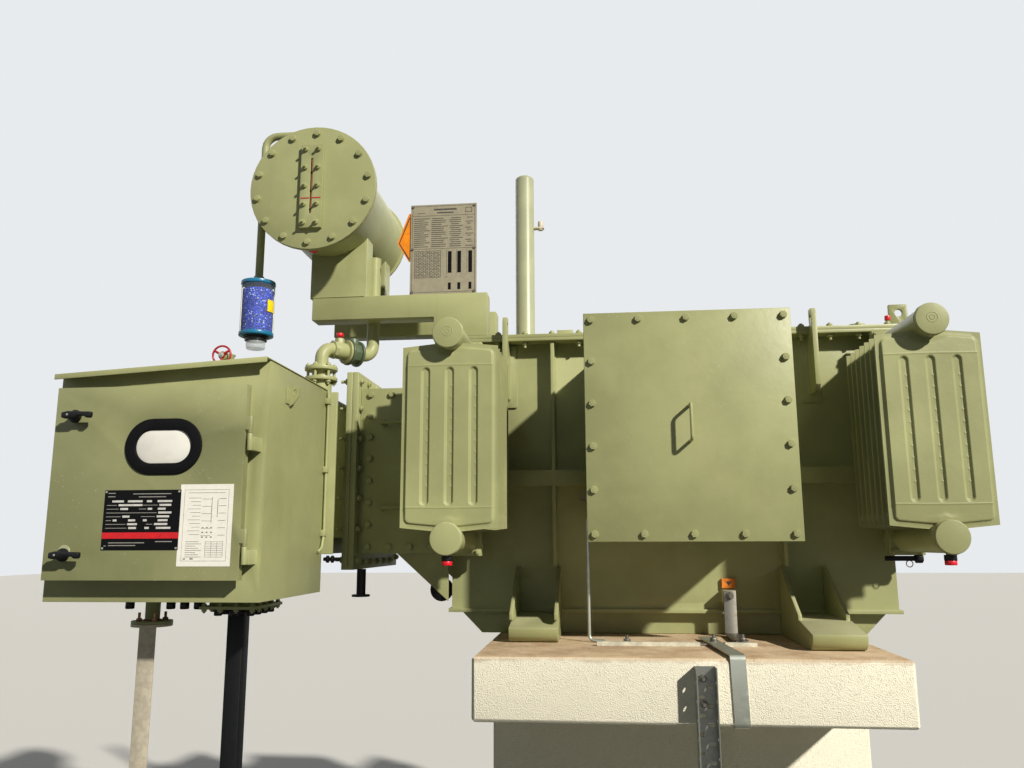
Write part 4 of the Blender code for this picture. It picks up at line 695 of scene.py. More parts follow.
class Panel:
    """The pressed shape of a radiator panel, measured from its middle."""

    def __init__(self, half, sizes):
        self.half = half
        self.tall = sizes.panel_height / 2
        self.seam = sizes.seam
        self.field = sizes.panel_field
        self.crease = self.tall - sizes.crease

    def peak(self, x, z):
        """How far a point moves away from the middle so that both ends form a shallow gable."""
        share = 1 - min(1.0, max(0.0, abs(x) - 0.03) / (self.half - 0.03))
        rise = 0.012 * share * smoothstep((abs(z) - (self.tall - 0.075)) / 0.07)
        return math.copysign(rise, z)

    def rise(self, x, z):
        """Share of the full relief at a place: 0 on the seam and round the top header."""
        corner = 0.016
        dx = abs(x) - (self.half - self.seam - corner)
        dz = abs(z) - (self.tall - self.seam - corner)
        outside = math.hypot(max(dx, 0), max(dz, 0)) + min(max(dx, dz), 0) - corner
        rise = smoothstep(-outside / 0.006)
        if z > 0:
            gap = math.hypot(x, z - HEADER_HALF) - 0.057
            rise = min(rise, smoothstep(gap / 0.012))
        past = abs(z) - self.crease
        if past > 0:
            rise *= 1 - 0.42 * min(1.0, past / (self.tall - self.crease - self.seam))
        return rise

    def boss(self, x, z):
        """The raised half ring over the bottom header."""
        return 1 - smoothstep((math.hypot(x, z + HEADER_HALF - 0.036) - 0.031) / 0.005)

    def groove(self, x, z):
        """Share of the grooves' depth at a place."""
        end = self.crease - 0.004 - GROOVE_HALF
        past = max(abs(z) - end, 0.0)
        away = min(math.hypot(x - i * self.half / 2, past) for i in (-1, 0, 1))
        return 1 - smoothstep((away - 0.0074) / (GROOVE_HALF - 0.0074))

    def spot(self, x, z):
        """Share of a weld spot's dent, on the right edge of each groove's floor."""
        nearest = (round(z / SPOT_PITCH - 0.5) + 0.5) * SPOT_PITCH
        if abs(nearest) > self.crease - 0.03:
            return 0.0
        away = min(math.hypot(x - i * self.half / 2 - 0.005, z - nearest) for i in (-1, 0, 1))
        return 1 - smoothstep((away - 0.0012) / 0.0028)

    def out(self, x, z):
        stand = self.rise(x, z) * self.field
        line = 1 - smoothstep((abs(abs(z) - self.crease) - 0.0008) / 0.0022)
        stand += (self.boss(x, z) * 0.0026 + line * 0.0009) * min(1.0, stand * 300)
        stand -= self.groove(x, z) * stand * 0.74
        return 0.0016 + stand + self.spot(x, z) * 0.001

    def columns(self, fine):
        """Places of a sheet's points across the panel, closer where its shape turns."""
        border = [-0.0005, 0.003, 0.006, 0.012, 0.017]
        steps = [0, 0.0058, 0.0104, GROOVE_HALF]
        if fine:
            border += [0.0015, 0.0045, 0.009, 0.004 - self.seam]
            steps = [0, 0.0018, 0.0036, 0.005, 0.0062, 0.0076, 0.0092, 0.0108, 0.0124, 0.0138,
                     0.015, 0.016]
        right = [self.half] + [self.half - self.seam - b for b in border]
        spots = {side * a for a in right for side in (-1, 1)}
        spots.update(round(i * self.half / 2 + side * s, 6)
                     for i in (-1, 0, 1) for s in steps for side in (-1, 1))
        spots.update((i + 0.5) * self.half / 2 for i in (-1, 0))
        return sorted(spots)

    def rows(self, fine):
        """Places of a sheet's points up the panel, closer where its shape turns."""
        edge = self.tall - self.seam
        steps, pitch, arcs = (0, 0.003, 0.006, 0.012, 0.017), 0.014, 3
        if fine:
            steps = (-0.0005, 0.0015, 0.003, 0.0045, 0.006, 0.009, 0.012, 0.0145, 0.017)
            pitch, arcs = 0.004, 8
        upper = [0.0, self.tall] + [edge - s for s in steps]
        upper += [self.crease + s for s in (-0.003, -0.0012, 0, 0.0012, 0.003)]
        upper += evenly(self.crease + 0.004, edge - 0.018, pitch)
        upper += [self.crease - 0.004 - GROOVE_HALF + GROOVE_HALF * i / arcs
                  for i in range(1, arcs + 1)]
        if fine:
            for middle in evenly(SPOT_PITCH / 2, self.crease - 0.03, SPOT_PITCH):
                upper += [middle + s for s in (-0.004, -0.0026, -0.0012, 0, 0.0012, 0.0026,
                                               0.004)]
        spots = sorted({side * z for z in upper for side in (-1, 1)})
        return [spots[0]] + [b for a, b in zip(spots, spots[1:]) if b - a > 0.0005]


def pressed_sheet(panel, y, end, fine):
    """A grid primitive whose points are moved onto the pressed shape."""
    columns, rows = panel.columns(fine), panel.rows(fine)
    across, up = len(columns) - 1, len(rows) - 1
    piece = upright_grid((0, 0, 0), 1, 1, across, up)
    for vertex in piece.data.vertices:
        x = columns[round((vertex.co.x + 0.5) * across)]
        z = rows[round((vertex.co.z + 0.5) * up)]
        vertex.co = (x, y + end * panel.out(x, z), z + panel.peak(x, z))
    return piece


def closed_pair(front, back):
    """Two sheets joined round their seam."""
    made = joined([front, back])
    activate(made)
    bpy.ops.object.mode_set(mode="EDIT")
    bpy.ops.mesh.select_mode(type="EDGE")
    bpy.ops.mesh.select_all(action="DESELECT")
    bpy.ops.mesh.select_non_manifold(extend=False, use_wire=False, use_multi_face=False,
                                     use_non_contiguous=False, use_verts=False)
    bpy.ops.mesh.bridge_edge_loops()
    bpy.ops.mesh.select_mode(type="VERT")
    bpy.ops.mesh.select_all(action="SELECT")
    bpy.ops.mesh.normals_make_consistent(inside=False)
    bpy.ops.object.mode_set(mode="OBJECT")
    return smooth(made, 40)


def ripple(piece, middle, depth):
    """Gives a weld bead its scales."""
    for vertex in piece.data.vertices:
        angle = math.atan2(vertex.co.z - middle.z, vertex.co.x - middle.x)
        out = Vector((math.cos(angle), 0, math.sin(angle)))
        vertex.co += out * depth * math.sin(angle * 46)


def header_pipe(x, z, end, wall, cap_face, embossed):
    """A header pipe with its rounded end cap and weld bead."""
    bead = ring((x, cap_face - end * 0.013, z), 0.0905, 0.007, sides=56)
    ripple(bead, Vector((x, 0, z)), 0.0006)
    parts = [level(x, z, wall, cap_face - end * 0.006, HEADER_DIAMETER, 64),
             level(x, z, cap_face - end * 0.011, cap_face, 0.0945, 64, 0.0028, 3), bead]
    if embossed:
        parts += [ring((x, cap_face - end * 0.0006, z + 0.004), 0.03, 0.003, sides=36),
                  ring((x, cap_face - end * 0.0004, z + 0.004), 0.014, 0.0026, sides=28)]
    return [smooth(part, 40) for part in parts]


def make_radiator(node):
    """Pressed panels between two header pipes, with their flanges and drain."""
    low, high, middle = span(node)
    end = -1 if middle.y < 0 else 1
    x, top, bottom = middle.x, TOP_HEADER, TOP_HEADER - 2 * HEADER_HALF
    wall, outer = (low.y, high.y) if end > 0 else (high.y, low.y)
    panel = Panel((high.x - low.x) / 2, settings())
    parts = []
    for i in range(PANEL_COUNT):
        y = outer - end * (PANEL_PITCH + 0.007) - end * i * PANEL_PITCH
        made = closed_pair(pressed_sheet(panel, y, end, i == 0),
                           pressed_sheet(panel, y, -end, i == 0))
        made.data.transform(Matrix.Translation((x, 0, (top + bottom) / 2)))
        parts.append(made)
    parts += header_pipe(x, top, end, wall, outer, True)
    parts += header_pipe(x, bottom, end, wall, outer, False)
    flange = wall + end * 0.0757
    half = Vector((HEADER_FLANGE, HEADER_FLANGE_THICKNESS, HEADER_FLANGE)) / 2
    for z in (top, bottom):
        for offset in (-0.0085, 0.0085):
            middle = Vector((x, flange + end * offset, z))
            parts.append(block(middle - half, middle + half, 0.0018))
    hand_over(parts, node + "_pressed", "olive_paint", replaces=(node,))
    spots = [(x + sx * 0.042, flange + end * 0.0155, z + sz * 0.042)
             for z in (top, bottom) for sx in (-1, 1) for sz in (-1, 1)]
    bolts(node + "_flange_bolts", spots, (0, end, 0), 0.01, 0.004)
    plug = outer - end * 0.034
    stub = bottom - HEADER_DIAMETER / 2
    hand_over([upright(x, plug, stub - 0.016, stub + 0.006, 0.022, 24),
               upright(x, plug, stub - 0.02, stub - 0.004, 0.034, 6, 0.001)],
              node + "_drain_nut", "black_metal")
    hand_over(upright(x, plug, stub - 0.032, stub - 0.0195, 0.032, 24, 0.002),
              node + "_drain_cap", "red_plastic")


def make_radiators():
    for name in [n for n in NODES if n.startswith("radiator_")]:
        make_radiator(name)


# Bolted covers, flanges and gauge

def make_cover_bolts():
    for word, axis in (("front", -1), ("rear", 1)):
        low, high, _ = span(f"cable_box_cover_{word}")
        y = low.y if axis < 0 else high.y
        spots = [(a, y, b) for a, b in border((low.x, low.z), (high.x, high.z), 0.022, 5, 6)]
        bolts(f"cable_box_bolts_{word}", spots, (0, axis, 0))


END_BOLTS = 14
END_BOLT_RADIUS = 0.198             # of the circle that the end plate's bolts stand on


def make_conservator_details():
    """End bolts, gauge, weld ring and drain of the conservator."""
    low, _, end = span("conservator_end_plate")
    spots = []
    for i in range(END_BOLTS):
        turn = 2 * math.pi * i / END_BOLTS + math.radians(3)
        spots.append((end.x + END_BOLT_RADIUS * math.sin(turn), low.y,
                      end.z + END_BOLT_RADIUS * math.cos(turn)))
    bolts("conservator_end_bolts", spots, FORWARD, 0.0125)
    low, high, middle = span("oil_gauge")
    spots = [(middle.x + side * 0.0225, low.y, low.z + 0.018 + row * 0.0665)
             for row in range(5) for side in (-1, 1)]
    bolts("gauge_studs", spots, FORWARD, 0.01, 0.013)
    for name, finish, left, right in (
            ("gauge_shadow_strip", "black_enamel", -0.0042, -0.0004),
            ("gauge_float_strip", "copper_float", -0.0004, 0.0042)):
        hand_over(block((middle.x + left, low.y + 0.003, middle.z - 0.099),
                        (middle.x + right, low.y + 0.004, middle.z + 0.099)), name, finish)
    line = [block((left, low.y - 0.0008, middle.z - 0.0475),
                  (right, low.y + 0.0004, middle.z - 0.0435))
            for left, right in ((low.x + 0.004, middle.x - 0.0046),
                                (middle.x + 0.0046, high.x - 0.004))]
    hand_over(line, "gauge_level_line", "red_paint")
    weld_ring = ring((span("conservator")[2].x, -0.5895, end.z), 0.374, 0.008, sides=64)
    hand_over(smooth(weld_ring), "conservator_weld", "olive_paint")
    x, y = end.x - 0.008, -0.556
    hand_over(smooth(upright(x, y, end.z - 0.2, end.z - 0.15, 0.024, 24)),
              "conservator_drain_stub", "olive_paint")
    hand_over(upright(x, y, end.z - 0.214, end.z - 0.194, 0.031, 24, 0.003),
              "conservator_drain_cap", "red_plastic")


# Heights of the bolts that join the chamber to its oil tank
JOINT_ROWS = (1.545, 1.646, 1.749, 1.85, 1.949, 2.053, 2.147)
JOINT_FLANGE = 0.02        # thickness of each of the joint's two flanges


def make_flange_bolts():
    """Bolts of the inspection plate, the chamber's joint and the tank's cover."""
    low = span("chamber_inspection_plate")[0]
    spots = [(-0.998 + i * 0.072, low.y, 1.5865 + j * 0.0738) for i in range(4)
             for j in range(8) if i in (0, 3) or j in (0, 7)]
    bolts("chamber_plate_bolts", spots, FORWARD)
    low, high, _ = span("tap_changer_chamber")
    front, back = low.y + 0.022, high.y - 0.022
    sides = [(front, z) for z in JOINT_ROWS] + [(back, z) for z in JOINT_ROWS]
    for i in range(1, 6):
        y = front + (back - front) * i / 6
        sides += [(y, JOINT_ROWS[0] - 0.01), (y, JOINT_ROWS[-1] + 0.008)]
    bolts("joint_bolt_heads", [(low.x + JOINT_FLANGE, y, z) for y, z in sides], RIGHT,
          stud=0.004)
    left = span("tap_changer_oil_tank")[1].x - JOINT_FLANGE
    bolts("joint_bolt_nuts", [(left, y, z) for y, z in sides], LEFT, stud=0.016)
    low, high, _ = span("tank_rim")
    over = high.z + 0.0123
    spots = []
    for i in range(17):
        x = low.x + 0.035 + (high.x - low.x - 0.07) * i / 16
        spots += [(x, low.y + 0.02), (x, high.y - 0.02)]
    for i in range(1, 8):
        y = low.y + 0.035 + (high.y - low.y - 0.07) * i / 8
        spots += [(low.x + 0.02, y), (high.x - 0.02, y)]
    bolts("cover_bolt_heads", [(x, y, over) for x, y in spots], UP, stud=0.004)
    bolts("cover_bolt_nuts", [(x, y, low.z) for x, y in spots], DOWN, stud=0.01)


def make_earthing_bolts():
    _, high, middle = span("earth_link")
    bolts("earth_pad_bolts", [(middle.x, high.y - 0.0062, high.z - 0.016)], FORWARD, 0.012,
          0.01, "weathered_steel")
    _, top, bar = span("earth_bar")
    spots = [(middle.x, bar.y, top.z + 0.006), (0.105, bar.y + 0.008, top.z + 0.0045),
             (-0.15, bar.y, top.z)]
    bolts("earth_bar_bolts", spots, UP, 0.012, 0.01, "weathered_steel")


# Drive cabinet

def make_latches():
    for word in ("upper", "lower"):
        make_latch(word)


def make_latch(word):
    """A moulded handle on its round foot, with the pin it turns on."""
    node, body = f"latch_handle_{word}", f"latch_{word}"
    low, high, _ = span(node)
    joint = next(j for j in frame["joints"] if j["child"] == body)
    x, _, z = joint["pos_m"]
    back, front = high.y, low.y
    outline = [(low.x, z - 0.0075), (x - 0.01, z - 0.01), (x + 0.022, z - 0.0095),
               (x + 0.028, z - 0.0045), (x + 0.046, z - 0.0035), (x + 0.052, z - 0.0085),
               (high.x - 0.003, z - 0.0095), (high.x, z - 0.005), (high.x, z + 0.0075),
               (x + 0.02, z + 0.0085), (x, z + 0.01), (low.x, z + 0.0065)]
    hand_over([level(x, z, back, back - 0.008, 0.0355, 32, 0.002),
               level(x, z, back - 0.006, front + 0.012, 0.019, 24),
               bevelled(plate(outline, "xz", front + 0.014, front), 0.0028, 3)],
              node + "_moulded", "black_plastic", body, (node,))
    hand_over(level(x, z, front + 0.002, front - 0.001, 0.006, 20, 0.0006),
              f"latch_pin_{word}", "galvanised_steel", body)
    if word == "lower":
        hand_over(level(x + 0.001, z + 0.009, back - 0.0002, back - 0.002, 0.034, 32,
                        0.0005, 1), "latch_rose_lower", "olive_pale", "door")


def make_window():
    """The door's oval window: rubber seal and clouded pane."""
    low, high, middle = span("window_seal")
    centre = (middle.x, middle.z)
    pane_low, pane_high, _ = span("window_pane")
    width, tall = pane_high.x - pane_low.x, pane_high.z - pane_low.z
    outer = plate(stadium(high.x - low.x, high.z - low.z, centre), "xz", high.y, low.y)
    hole = plate(stadium(width + 0.0006, tall + 0.0006, centre), "xz", high.y + 0.01,
                 low.y - 0.01)
    hand_over(bevelled(cut(outer, hole), 0.0022, 3, 50), "window_seal_moulded",
              "black_rubber", "door", ("window_seal",))
    pane = plate(stadium(width, tall, centre), "xz", pane_high.y, pane_low.y)
    hand_over(bevelled(pane, 0.0008, 2, 50), "window_pane_clouded", "frosted_sheet", "door",
              ("window_pane",))


def marks(corner, face, strokes, name, finish, body="main", depth=0.0006):
    """Printed or engraved strokes on a front face: left, bottom, right and top of each,
    measured from the plate's lower left corner."""
    made = [block((corner[0] + a, face - depth, corner[1] + b),
                  (corner[0] + c, face + 0.0004, corner[1] + d)) for a, b, c, d in strokes]
    hand_over(made, name, finish, body)


# Left and right ends of the fields in each row of the data plate
DATA_ROWS = (
    (0.024, 0.062, 0.071, 0.118, 0.128, 0.146, 0.16, 0.206), (0.044, 0.118, 0.166, 0.204),
    (0.05, 0.076, 0.132, 0.148, 0.162, 0.188), (0.164, 0.206), (0.058, 0.082, 0.16, 0.2),
    (0.03, 0.044, 0.076, 0.1, 0.12, 0.134, 0.164, 0.196), (0.074, 0.106, 0.154, 0.196),
    (0.078, 0.104, 0.126, 0.142, 0.16, 0.206),
)
# Left end, right end and height of the plate's other lines
DATA_LINES = ((0.08, 0.186, 0.146), (0.096, 0.172, 0.138), (0.02, 0.12, 0.018),
              (0.02, 0.096, 0.011), (0.15, 0.196, 0.021), (0.01, 0.03, 0.139),
              (0.01, 0.03, 0.148), (0.008, 0.014, 0.01))


def make_data_plate():
    """The door's black plate with its red band and rows of fields."""
    face = span("cabinet_door")[0].y
    low, high = (-1.5365, 1.584), (-1.323, 1.7415)
    back = block((low[0], face - 0.0016, low[1]), (high[0], face - 0.0003, high[1]), 0.0004, 1)
    hand_over(back, "door_data_plate", "black_enamel", "door")
    front = face - 0.0016
    marks(low, front, [(0.001, 0.03, high[0] - low[0] - 0.001, 0.046)], "door_data_band",
          "red_enamel", "door")
    fields, words = [], []
    for i, row in enumerate(DATA_ROWS):
        row = [a * 0.935 for a in row]
        z = 0.125 - i * 0.01
        start = 0.008
        for a, b in zip(row[::2], row[1::2]):
            fields.append((a, z, b - 0.003, z + 0.0052))
            if a - start > 0.016:
                words.append((start, z + 0.0015, a - 0.005, z + 0.003))
            start = a + 0.052
    words += [(a, z, b, z + 0.0022) for a, b, z in DATA_LINES]
    marks(low, front, fields, "door_data_fields", "pale_ink", "door")
    marks(low, front, words, "door_data_rules", "grey_ink", "door", 0.0004)
    spots = [(a, front, b) for a, b in border(low, high, 0.005, 2, 2)]
    bolts("door_plate_rivets", spots, FORWARD, 0.0035, 0, "galvanised_steel", "door", False)


def make_door_paper():
    """The door's white sheet with its drawing and its small table."""
    face = span("cabinet_door")[0].y
    low, high = (-1.325, 1.542), (-1.179, 1.755)
    hand_over(curled_sheet(low, high, face - 0.0008), "door_paper", "white_paper", "door")
    right, top = high[0] - low[0], high[1] - low[1]
    strokes = [(0.012, top - 0.0145, right - 0.012, top - 0.014),
               (0.012, 0.014, 0.0125, top - 0.014),
               (right - 0.0125, 0.014, right - 0.012, top - 0.014),
               (0.012, 0.014, right - 0.012, 0.0145),
               (0.022, top - 0.0225, right - 0.022, top - 0.0218),
               (0.018, 0.018, 0.024, 0.021), (0.036, 0.018, 0.045, 0.022),
               (0.088, top - 0.1, 0.0894, top - 0.034),
               (0.104, top - 0.086, 0.1055, top - 0.04)]
    for i in range(11):
        z = top - 0.036 - i * 0.0095
        strokes.append((0.024 + 0.006 * (i % 3), z, 0.058, z + 0.0006))
        if i % 2 == 0:
            strokes += [(0.062, z - 0.003, 0.088, z - 0.0024),
                        (0.108, z - 0.002, 0.128, z - 0.0011)]
    strokes += [(0.064 + i * 0.012, 0.074 + j * 0.012, 0.069 + i * 0.012, 0.077 + j * 0.012)
                for i in range(3) for j in range(3)]
    for i in range(8):
        z = 0.024 + i * 0.0056
        strokes += [(0.022, z, 0.066 - 0.008 * (i % 3), z + 0.001),
                    (0.076, z, 0.124, z + 0.0005)]
    strokes += [(a, 0.024, a + 0.0005, 0.0645) for a in (0.076, 0.092, 0.108, 0.124)]
    marks(low, face - 0.0011, strokes, "door_paper_lines", "grey_ink", "door", 0.0004)


def curled_sheet(low, high, y):
    """A paper sheet with a slight curl at its edges."""
    centre = ((low[0] + high[0]) / 2, y, (low[1] + high[1]) / 2)
    piece = upright_grid(centre, high[0] - low[0], high[1] - low[1], 16, 20)
    for vertex in piece.data.vertices:
        side = (vertex.co.x - centre[0]) / (high[0] - low[0]) * 2
        vertex.co.y -= 0.0006 * abs(side) ** 6 * (1 + math.sin(vertex.co.z * 40)) / 2
    made = piece.modifiers.new("thickness", "SOLIDIFY")
    made.thickness = 0.0003
    bpy.ops.object.modifier_apply(modifier=made.name)
    return smooth(piece)


def make_glands():
    """The flanged gland box below the cabinet, and its glands."""
    low, high, _ = span("cable_gland_box")
    left, right = low.x + 0.03, high.x + 0.034
    front, back = low.y + 0.004, high.y + 0.08
    neck = block((left + 0.026, front + 0.026, low.z + 0.014), (right - 0.026, back - 0.02, high.z),
                 0.0015)
    flange = block((left, front, low.z + 0.006), (right, back, low.z + 0.0145), 0.001)
    hand_over([neck, flange], "cable_gland_neck", "olive_paint", replaces=("cable_gland_box",))
    spots = border((left, front), (right, back), 0.011, 4, 5)
    bolts("gland_flange_bolts", [(a, b, low.z + 0.0145) for a, b in spots], UP, 0.008, 0.006)
    bolts("gland_flange_nuts", [(a, b, low.z + 0.006) for a, b in spots], DOWN, 0.008, 0.004)
    parts = []
    for x, y in [(left + 0.04 + i * 0.048, front + 0.04 + j * 0.05) for i in range(3)
                 for j in range(4)]:
        parts += [upright(x, y, low.z + 0.007, low.z - 0.003, 0.032, 6, 0.0012),
                  upright(x, y, low.z - 0.002, low.z - 0.014, 0.024, 20, 0.003)]
    y, top = front + 0.06, low.z + 0.0364
    for x in [left - 0.03 - i * 0.042 for i in range(6)]:
        if not -1.575 < x < -1.49:
            parts += [upright(x, y, top, top - 0.014, 0.036, 6, 0.0012),
                      upright(x, y, top - 0.013, top - 0.034, 0.026, 20, 0.003)]
    hand_over(parts, "cable_glands", "black_plastic")


def make_cabinet_fittings():
    """The ear and the thin conduit on the cabinet's right side, and the studs of its posts."""
    wall, back, _ = span("cabinet_body")[1]
    ear = plate([(wall + 0.0003, 1.992), (wall + 0.012, 1.998), (wall + 0.03, 2.022),
                 (wall + 0.03, 2.052), (wall + 0.0003, 2.052)], "xz", -0.905, -0.911)
    hole = level(wall + 0.018, 2.036, -0.93, -0.89, 0.011, 24)
    foot = block((wall + 0.0003, -0.936, 1.998), (wall + 0.004, -0.88, 2.046), 0.001)
    hand_over([bevelled(cut(ear, hole), 0.0008, 1), foot], "cabinet_ear", "olive_paint")
    x, y = wall + 0.009, back - 0.012
    points = arc_path([(wall + 0.003, y + 0.012, 2.098), (x, y, 2.08), (x, y, 1.84),
                       (x + 0.001, y - 0.002, 1.63), (x, y - 0.016, 1.585),
                       (x - 0.004, y - 0.04, 1.572)], 0.02, 4)
    hand_over(bent_rod(points, 0.009), "cabinet_conduit", "olive_paint")
    hand_over([block((wall + 0.0003, y - 0.012, z - 0.01), (x + 0.0062, y + 0.0105, z + 0.01),
                     0.0015) for z in (2.062, 1.836, 1.632)], "conduit_clamps", "olive_paint")
    low, _, middle = span("post_stub")
    turns = [math.radians(38 + 90 * i) for i in range(4)]
    bolts("post_flange_nuts", [(a, b, low.z + 0.008) for a, b in
                               circle(middle.x, middle.y, 0.036, turns)], UP, 0.009, 0.016,
          "rusty_steel")
    hand_over(smooth(ring((middle.x, middle.y, low.z + 0.0085), 0.044, 0.007, UP)),
              "post_stub_weld", "rusty_steel")
    low, high, _ = span("tap_changer_oil_tank")
    y, z = low.y + 0.06, 1.548
    hand_over([rod((high.x - 0.075, y, z), (high.x - 0.0203, y, z), 0.012, 16)]
              + [rod((high.x - a, y, z), (high.x - a + 0.009, y, z), 0.024, 6, 0.001)
                 for a in (0.066, 0.05)], "joint_long_stud", "black_metal")


# Breather, plates and small fittings

BREATHER_CAP, BREATHER_GLASS, BREATHER_BEADS = 0.1195, 0.113, 0.106   # diameters


def make_breather():
    """Glass jar of drying beads between two caps, with its oil cup below."""
    low, high, middle = span("breather")
    x, y, top, bottom = middle.x, middle.y, high.z, low.z + 0.05
    hand_over([upright(x, y, top, top - 0.014, BREATHER_CAP, 48, 0.003, 3),
               upright(x, y, bottom + 0.01, bottom - 0.004, BREATHER_CAP, 48, 0.003, 3)],
              "breather_caps", "breather_blue", replaces=("breather",))
    collar = [upright(x, y, bottom - 0.003, bottom - 0.01, 0.09, 40, 0.002),
              upright(x, y, bottom - 0.009, low.z + 0.03, 0.076, 40)]
    hand_over(smooth(joined(collar)), "breather_collar", "black_plastic")
    hand_over(upright(x, y, low.z + 0.032, low.z, 0.066, 40, 0.006, 3), "breather_oil_cup",
              "cup_glass")
    hand_over(upright(x, y, bottom + 0.009, top - 0.03, BREATHER_BEADS, 48, 0.004),
              "breather_beads", "drying_beads")
    hand_over(smooth(upright(x, y, bottom + 0.0095, top - 0.0135, BREATHER_GLASS, 56)),
              "breather_glass", "clear_glass")
    ties = [upright(a, b, bottom + 0.008, top - 0.012, 0.005, 12)
            for a, b in circle(x, y, 0.0555, (0.26, 1.83, 3.75))]
    hand_over(smooth(joined(ties)), "breather_tie_rods", "galvanised_steel")
    turns = [math.radians(-31 + 5 * i) for i in range(9)]
    outline = circle(x, y, 0.0573, turns) + circle(x, y, 0.0567, turns[::-1])
    hand_over(smooth(plate(outline, "xy", bottom + 0.08, bottom + 0.122)), "breather_sticker",
              "yellow_film")
    hand_over(upright(x, y, top - 0.001, top + 0.022, 0.036, 6, 0.002), "breather_union_nut",
              "olive_paint")


# Left and right ends of the words in every third row of the rating plate
RATING_ROWS = ((0.012, 0.064, 0.076, 0.128, 0.142, 0.184, 0.2, 0.228),
               (0.012, 0.056, 0.076, 0.136, 0.142, 0.19),
               (0.012, 0.07, 0.076, 0.12, 0.148, 0.184, 0.206, 0.226))
# The plate's heading, its small box and its short lines
RATING_LINES = ((0.084, 0.314, 0.168, 0.32), (0.096, 0.302, 0.156, 0.307),
                (0.2, 0.303, 0.224, 0.305), (0.2, 0.303, 0.202, 0.322),
                (0.222, 0.303, 0.224, 0.322), (0.2, 0.32, 0.224, 0.322),
                (0.024, 0.303, 0.052, 0.305), (0.128, 0.061, 0.138, 0.0625))


def make_rating_plate():
    """The etched plate with its made-up marks, and the slanted sign behind it."""
    low, high, _ = span("rating_plate")
    hand_over(block(low, high, 0.0006, 1), "rating_plate_sheet", "etched_plate",
              replaces=("rating_plate",))
    corner, face = (low.x, low.z), low.y
    right = high.x - low.x - 0.006
    strokes = [(0.006, a, right, a + 0.0013) for a in (0.006, 0.168, 0.293, 0.33)]
    strokes += [(a, 0.006, a + 0.0013, 0.3313) for a in (0.006, right - 0.0013)]
    for i in range(15):
        row = RATING_ROWS[i % 3]
        z = 0.1755 + i * 0.0076
        strokes += [(a, z, b - 0.006 * (i % 2), z + 0.0026)
                    for a, b in zip(row[::2], row[1::2])]
    strokes += RATING_LINES
    strokes += [(a, 0.07, a + 0.001, 0.164) for a in (0.132, 0.168, 0.206)]
    grid = [(0.016, 0.06 + i * 0.01, 0.111, 0.0612 + i * 0.01) for i in range(11)]
    grid += [(0.016 + i * 0.0135, 0.06, 0.0174 + i * 0.0135, 0.161) for i in range(8)]
    for i in range(10):
        for j in range(7):
            a, b = 0.02 + j * 0.0135, 0.0635 + i * 0.01
            grid.append((a, b, a + 0.0065 - 0.002 * ((i + j) % 2), b + 0.003))
    marks(corner, face, grid, "rating_plate_table", "etched_ink", depth=0.0003)
    bars = [(a, 0.077, a + 0.013, 0.157) for a in (0.138, 0.172, 0.212)]
    bars += [(a, 0.015, a + 0.01, 0.04) for a in (0.139, 0.173, 0.213)]
    marks(corner, face, bars, "rating_plate_bars", "black_enamel", depth=0.0008)
    marks(corner, face, strokes, "rating_plate_rules", "etched_ink", depth=0.0003)
    spots = [(a, face, b) for a, b in border(corner, (high.x, high.z), 0.008, 2, 3)]
    bolts("rating_plate_screws", spots, FORWARD, 0.005, 0, "weathered_steel")
    sign = [(-0.889, 2.779), (-0.931, 2.665), (-0.887, 2.594), (-0.812, 2.64), (-0.812, 2.74)]
    line = [(-0.9255, 2.6655), (-0.888, 2.764), (-0.885, 2.76), (-0.9215, 2.665),
            (-0.885, 2.606), (-0.888, 2.601)]
    back = high.y + 0.0003
    hand_over(plate(sign, "xz", back, back + 0.002), "slanted_sign", "orange_enamel")
    hand_over(plate(line, "xz", back - 0.0004, back + 0.0002), "slanted_sign_line", "dark_ink")


def make_side_lug():
    """The lug beside the rim's right end, and the capped stub near it."""
    lug = plate([(0.7895, 2.295), (0.852, 2.295), (0.852, 2.406), (0.85, 2.408),
                 (0.7915, 2.408), (0.7895, 2.406)], "xz", -0.294, -0.306)
    eye = level(0.822, 2.378, -0.32, -0.28, 0.026, 32)
    hand_over([bevelled(cut(lug, eye), 0.0012),
               block((0.73, -0.306, 2.2), (0.787, -0.294, 2.286)),
               block((0.786, -0.306, 2.2), (0.852, -0.294, 2.296))],
              "tank_side_lug", "olive_paint")
    hand_over(smooth(upright(0.77, -0.345, 2.313, 2.342, 0.012, 20)), "cover_stub",
              "olive_paint")
    hand_over(upright(0.77, -0.345, 2.341, 2.358, 0.019, 24, 0.002), "cover_stub_cap",
              "red_plastic")


def make_vent_fittings():
    """The small fitting on the vent pipe's side and its foot's bolts."""
    low, _, middle = span("vent_pipe")
    x = middle.x
    hand_over([block((x + 0.026, -0.012, 2.852), (x + 0.078, 0.012, 2.858), 0.001),
               upright(x + 0.064, 0, 2.846, 2.884, 0.022, 24, 0.003)],
              "vent_side_fitting", "cream_paint")
    spots = circle(x, 0, 0.047, (0.785, 2.356, 3.927, 5.498))
    bolts("vent_flange_bolts", [(a, b, low.z + 0.01) for a, b in spots], UP, 0.01, 0.005)


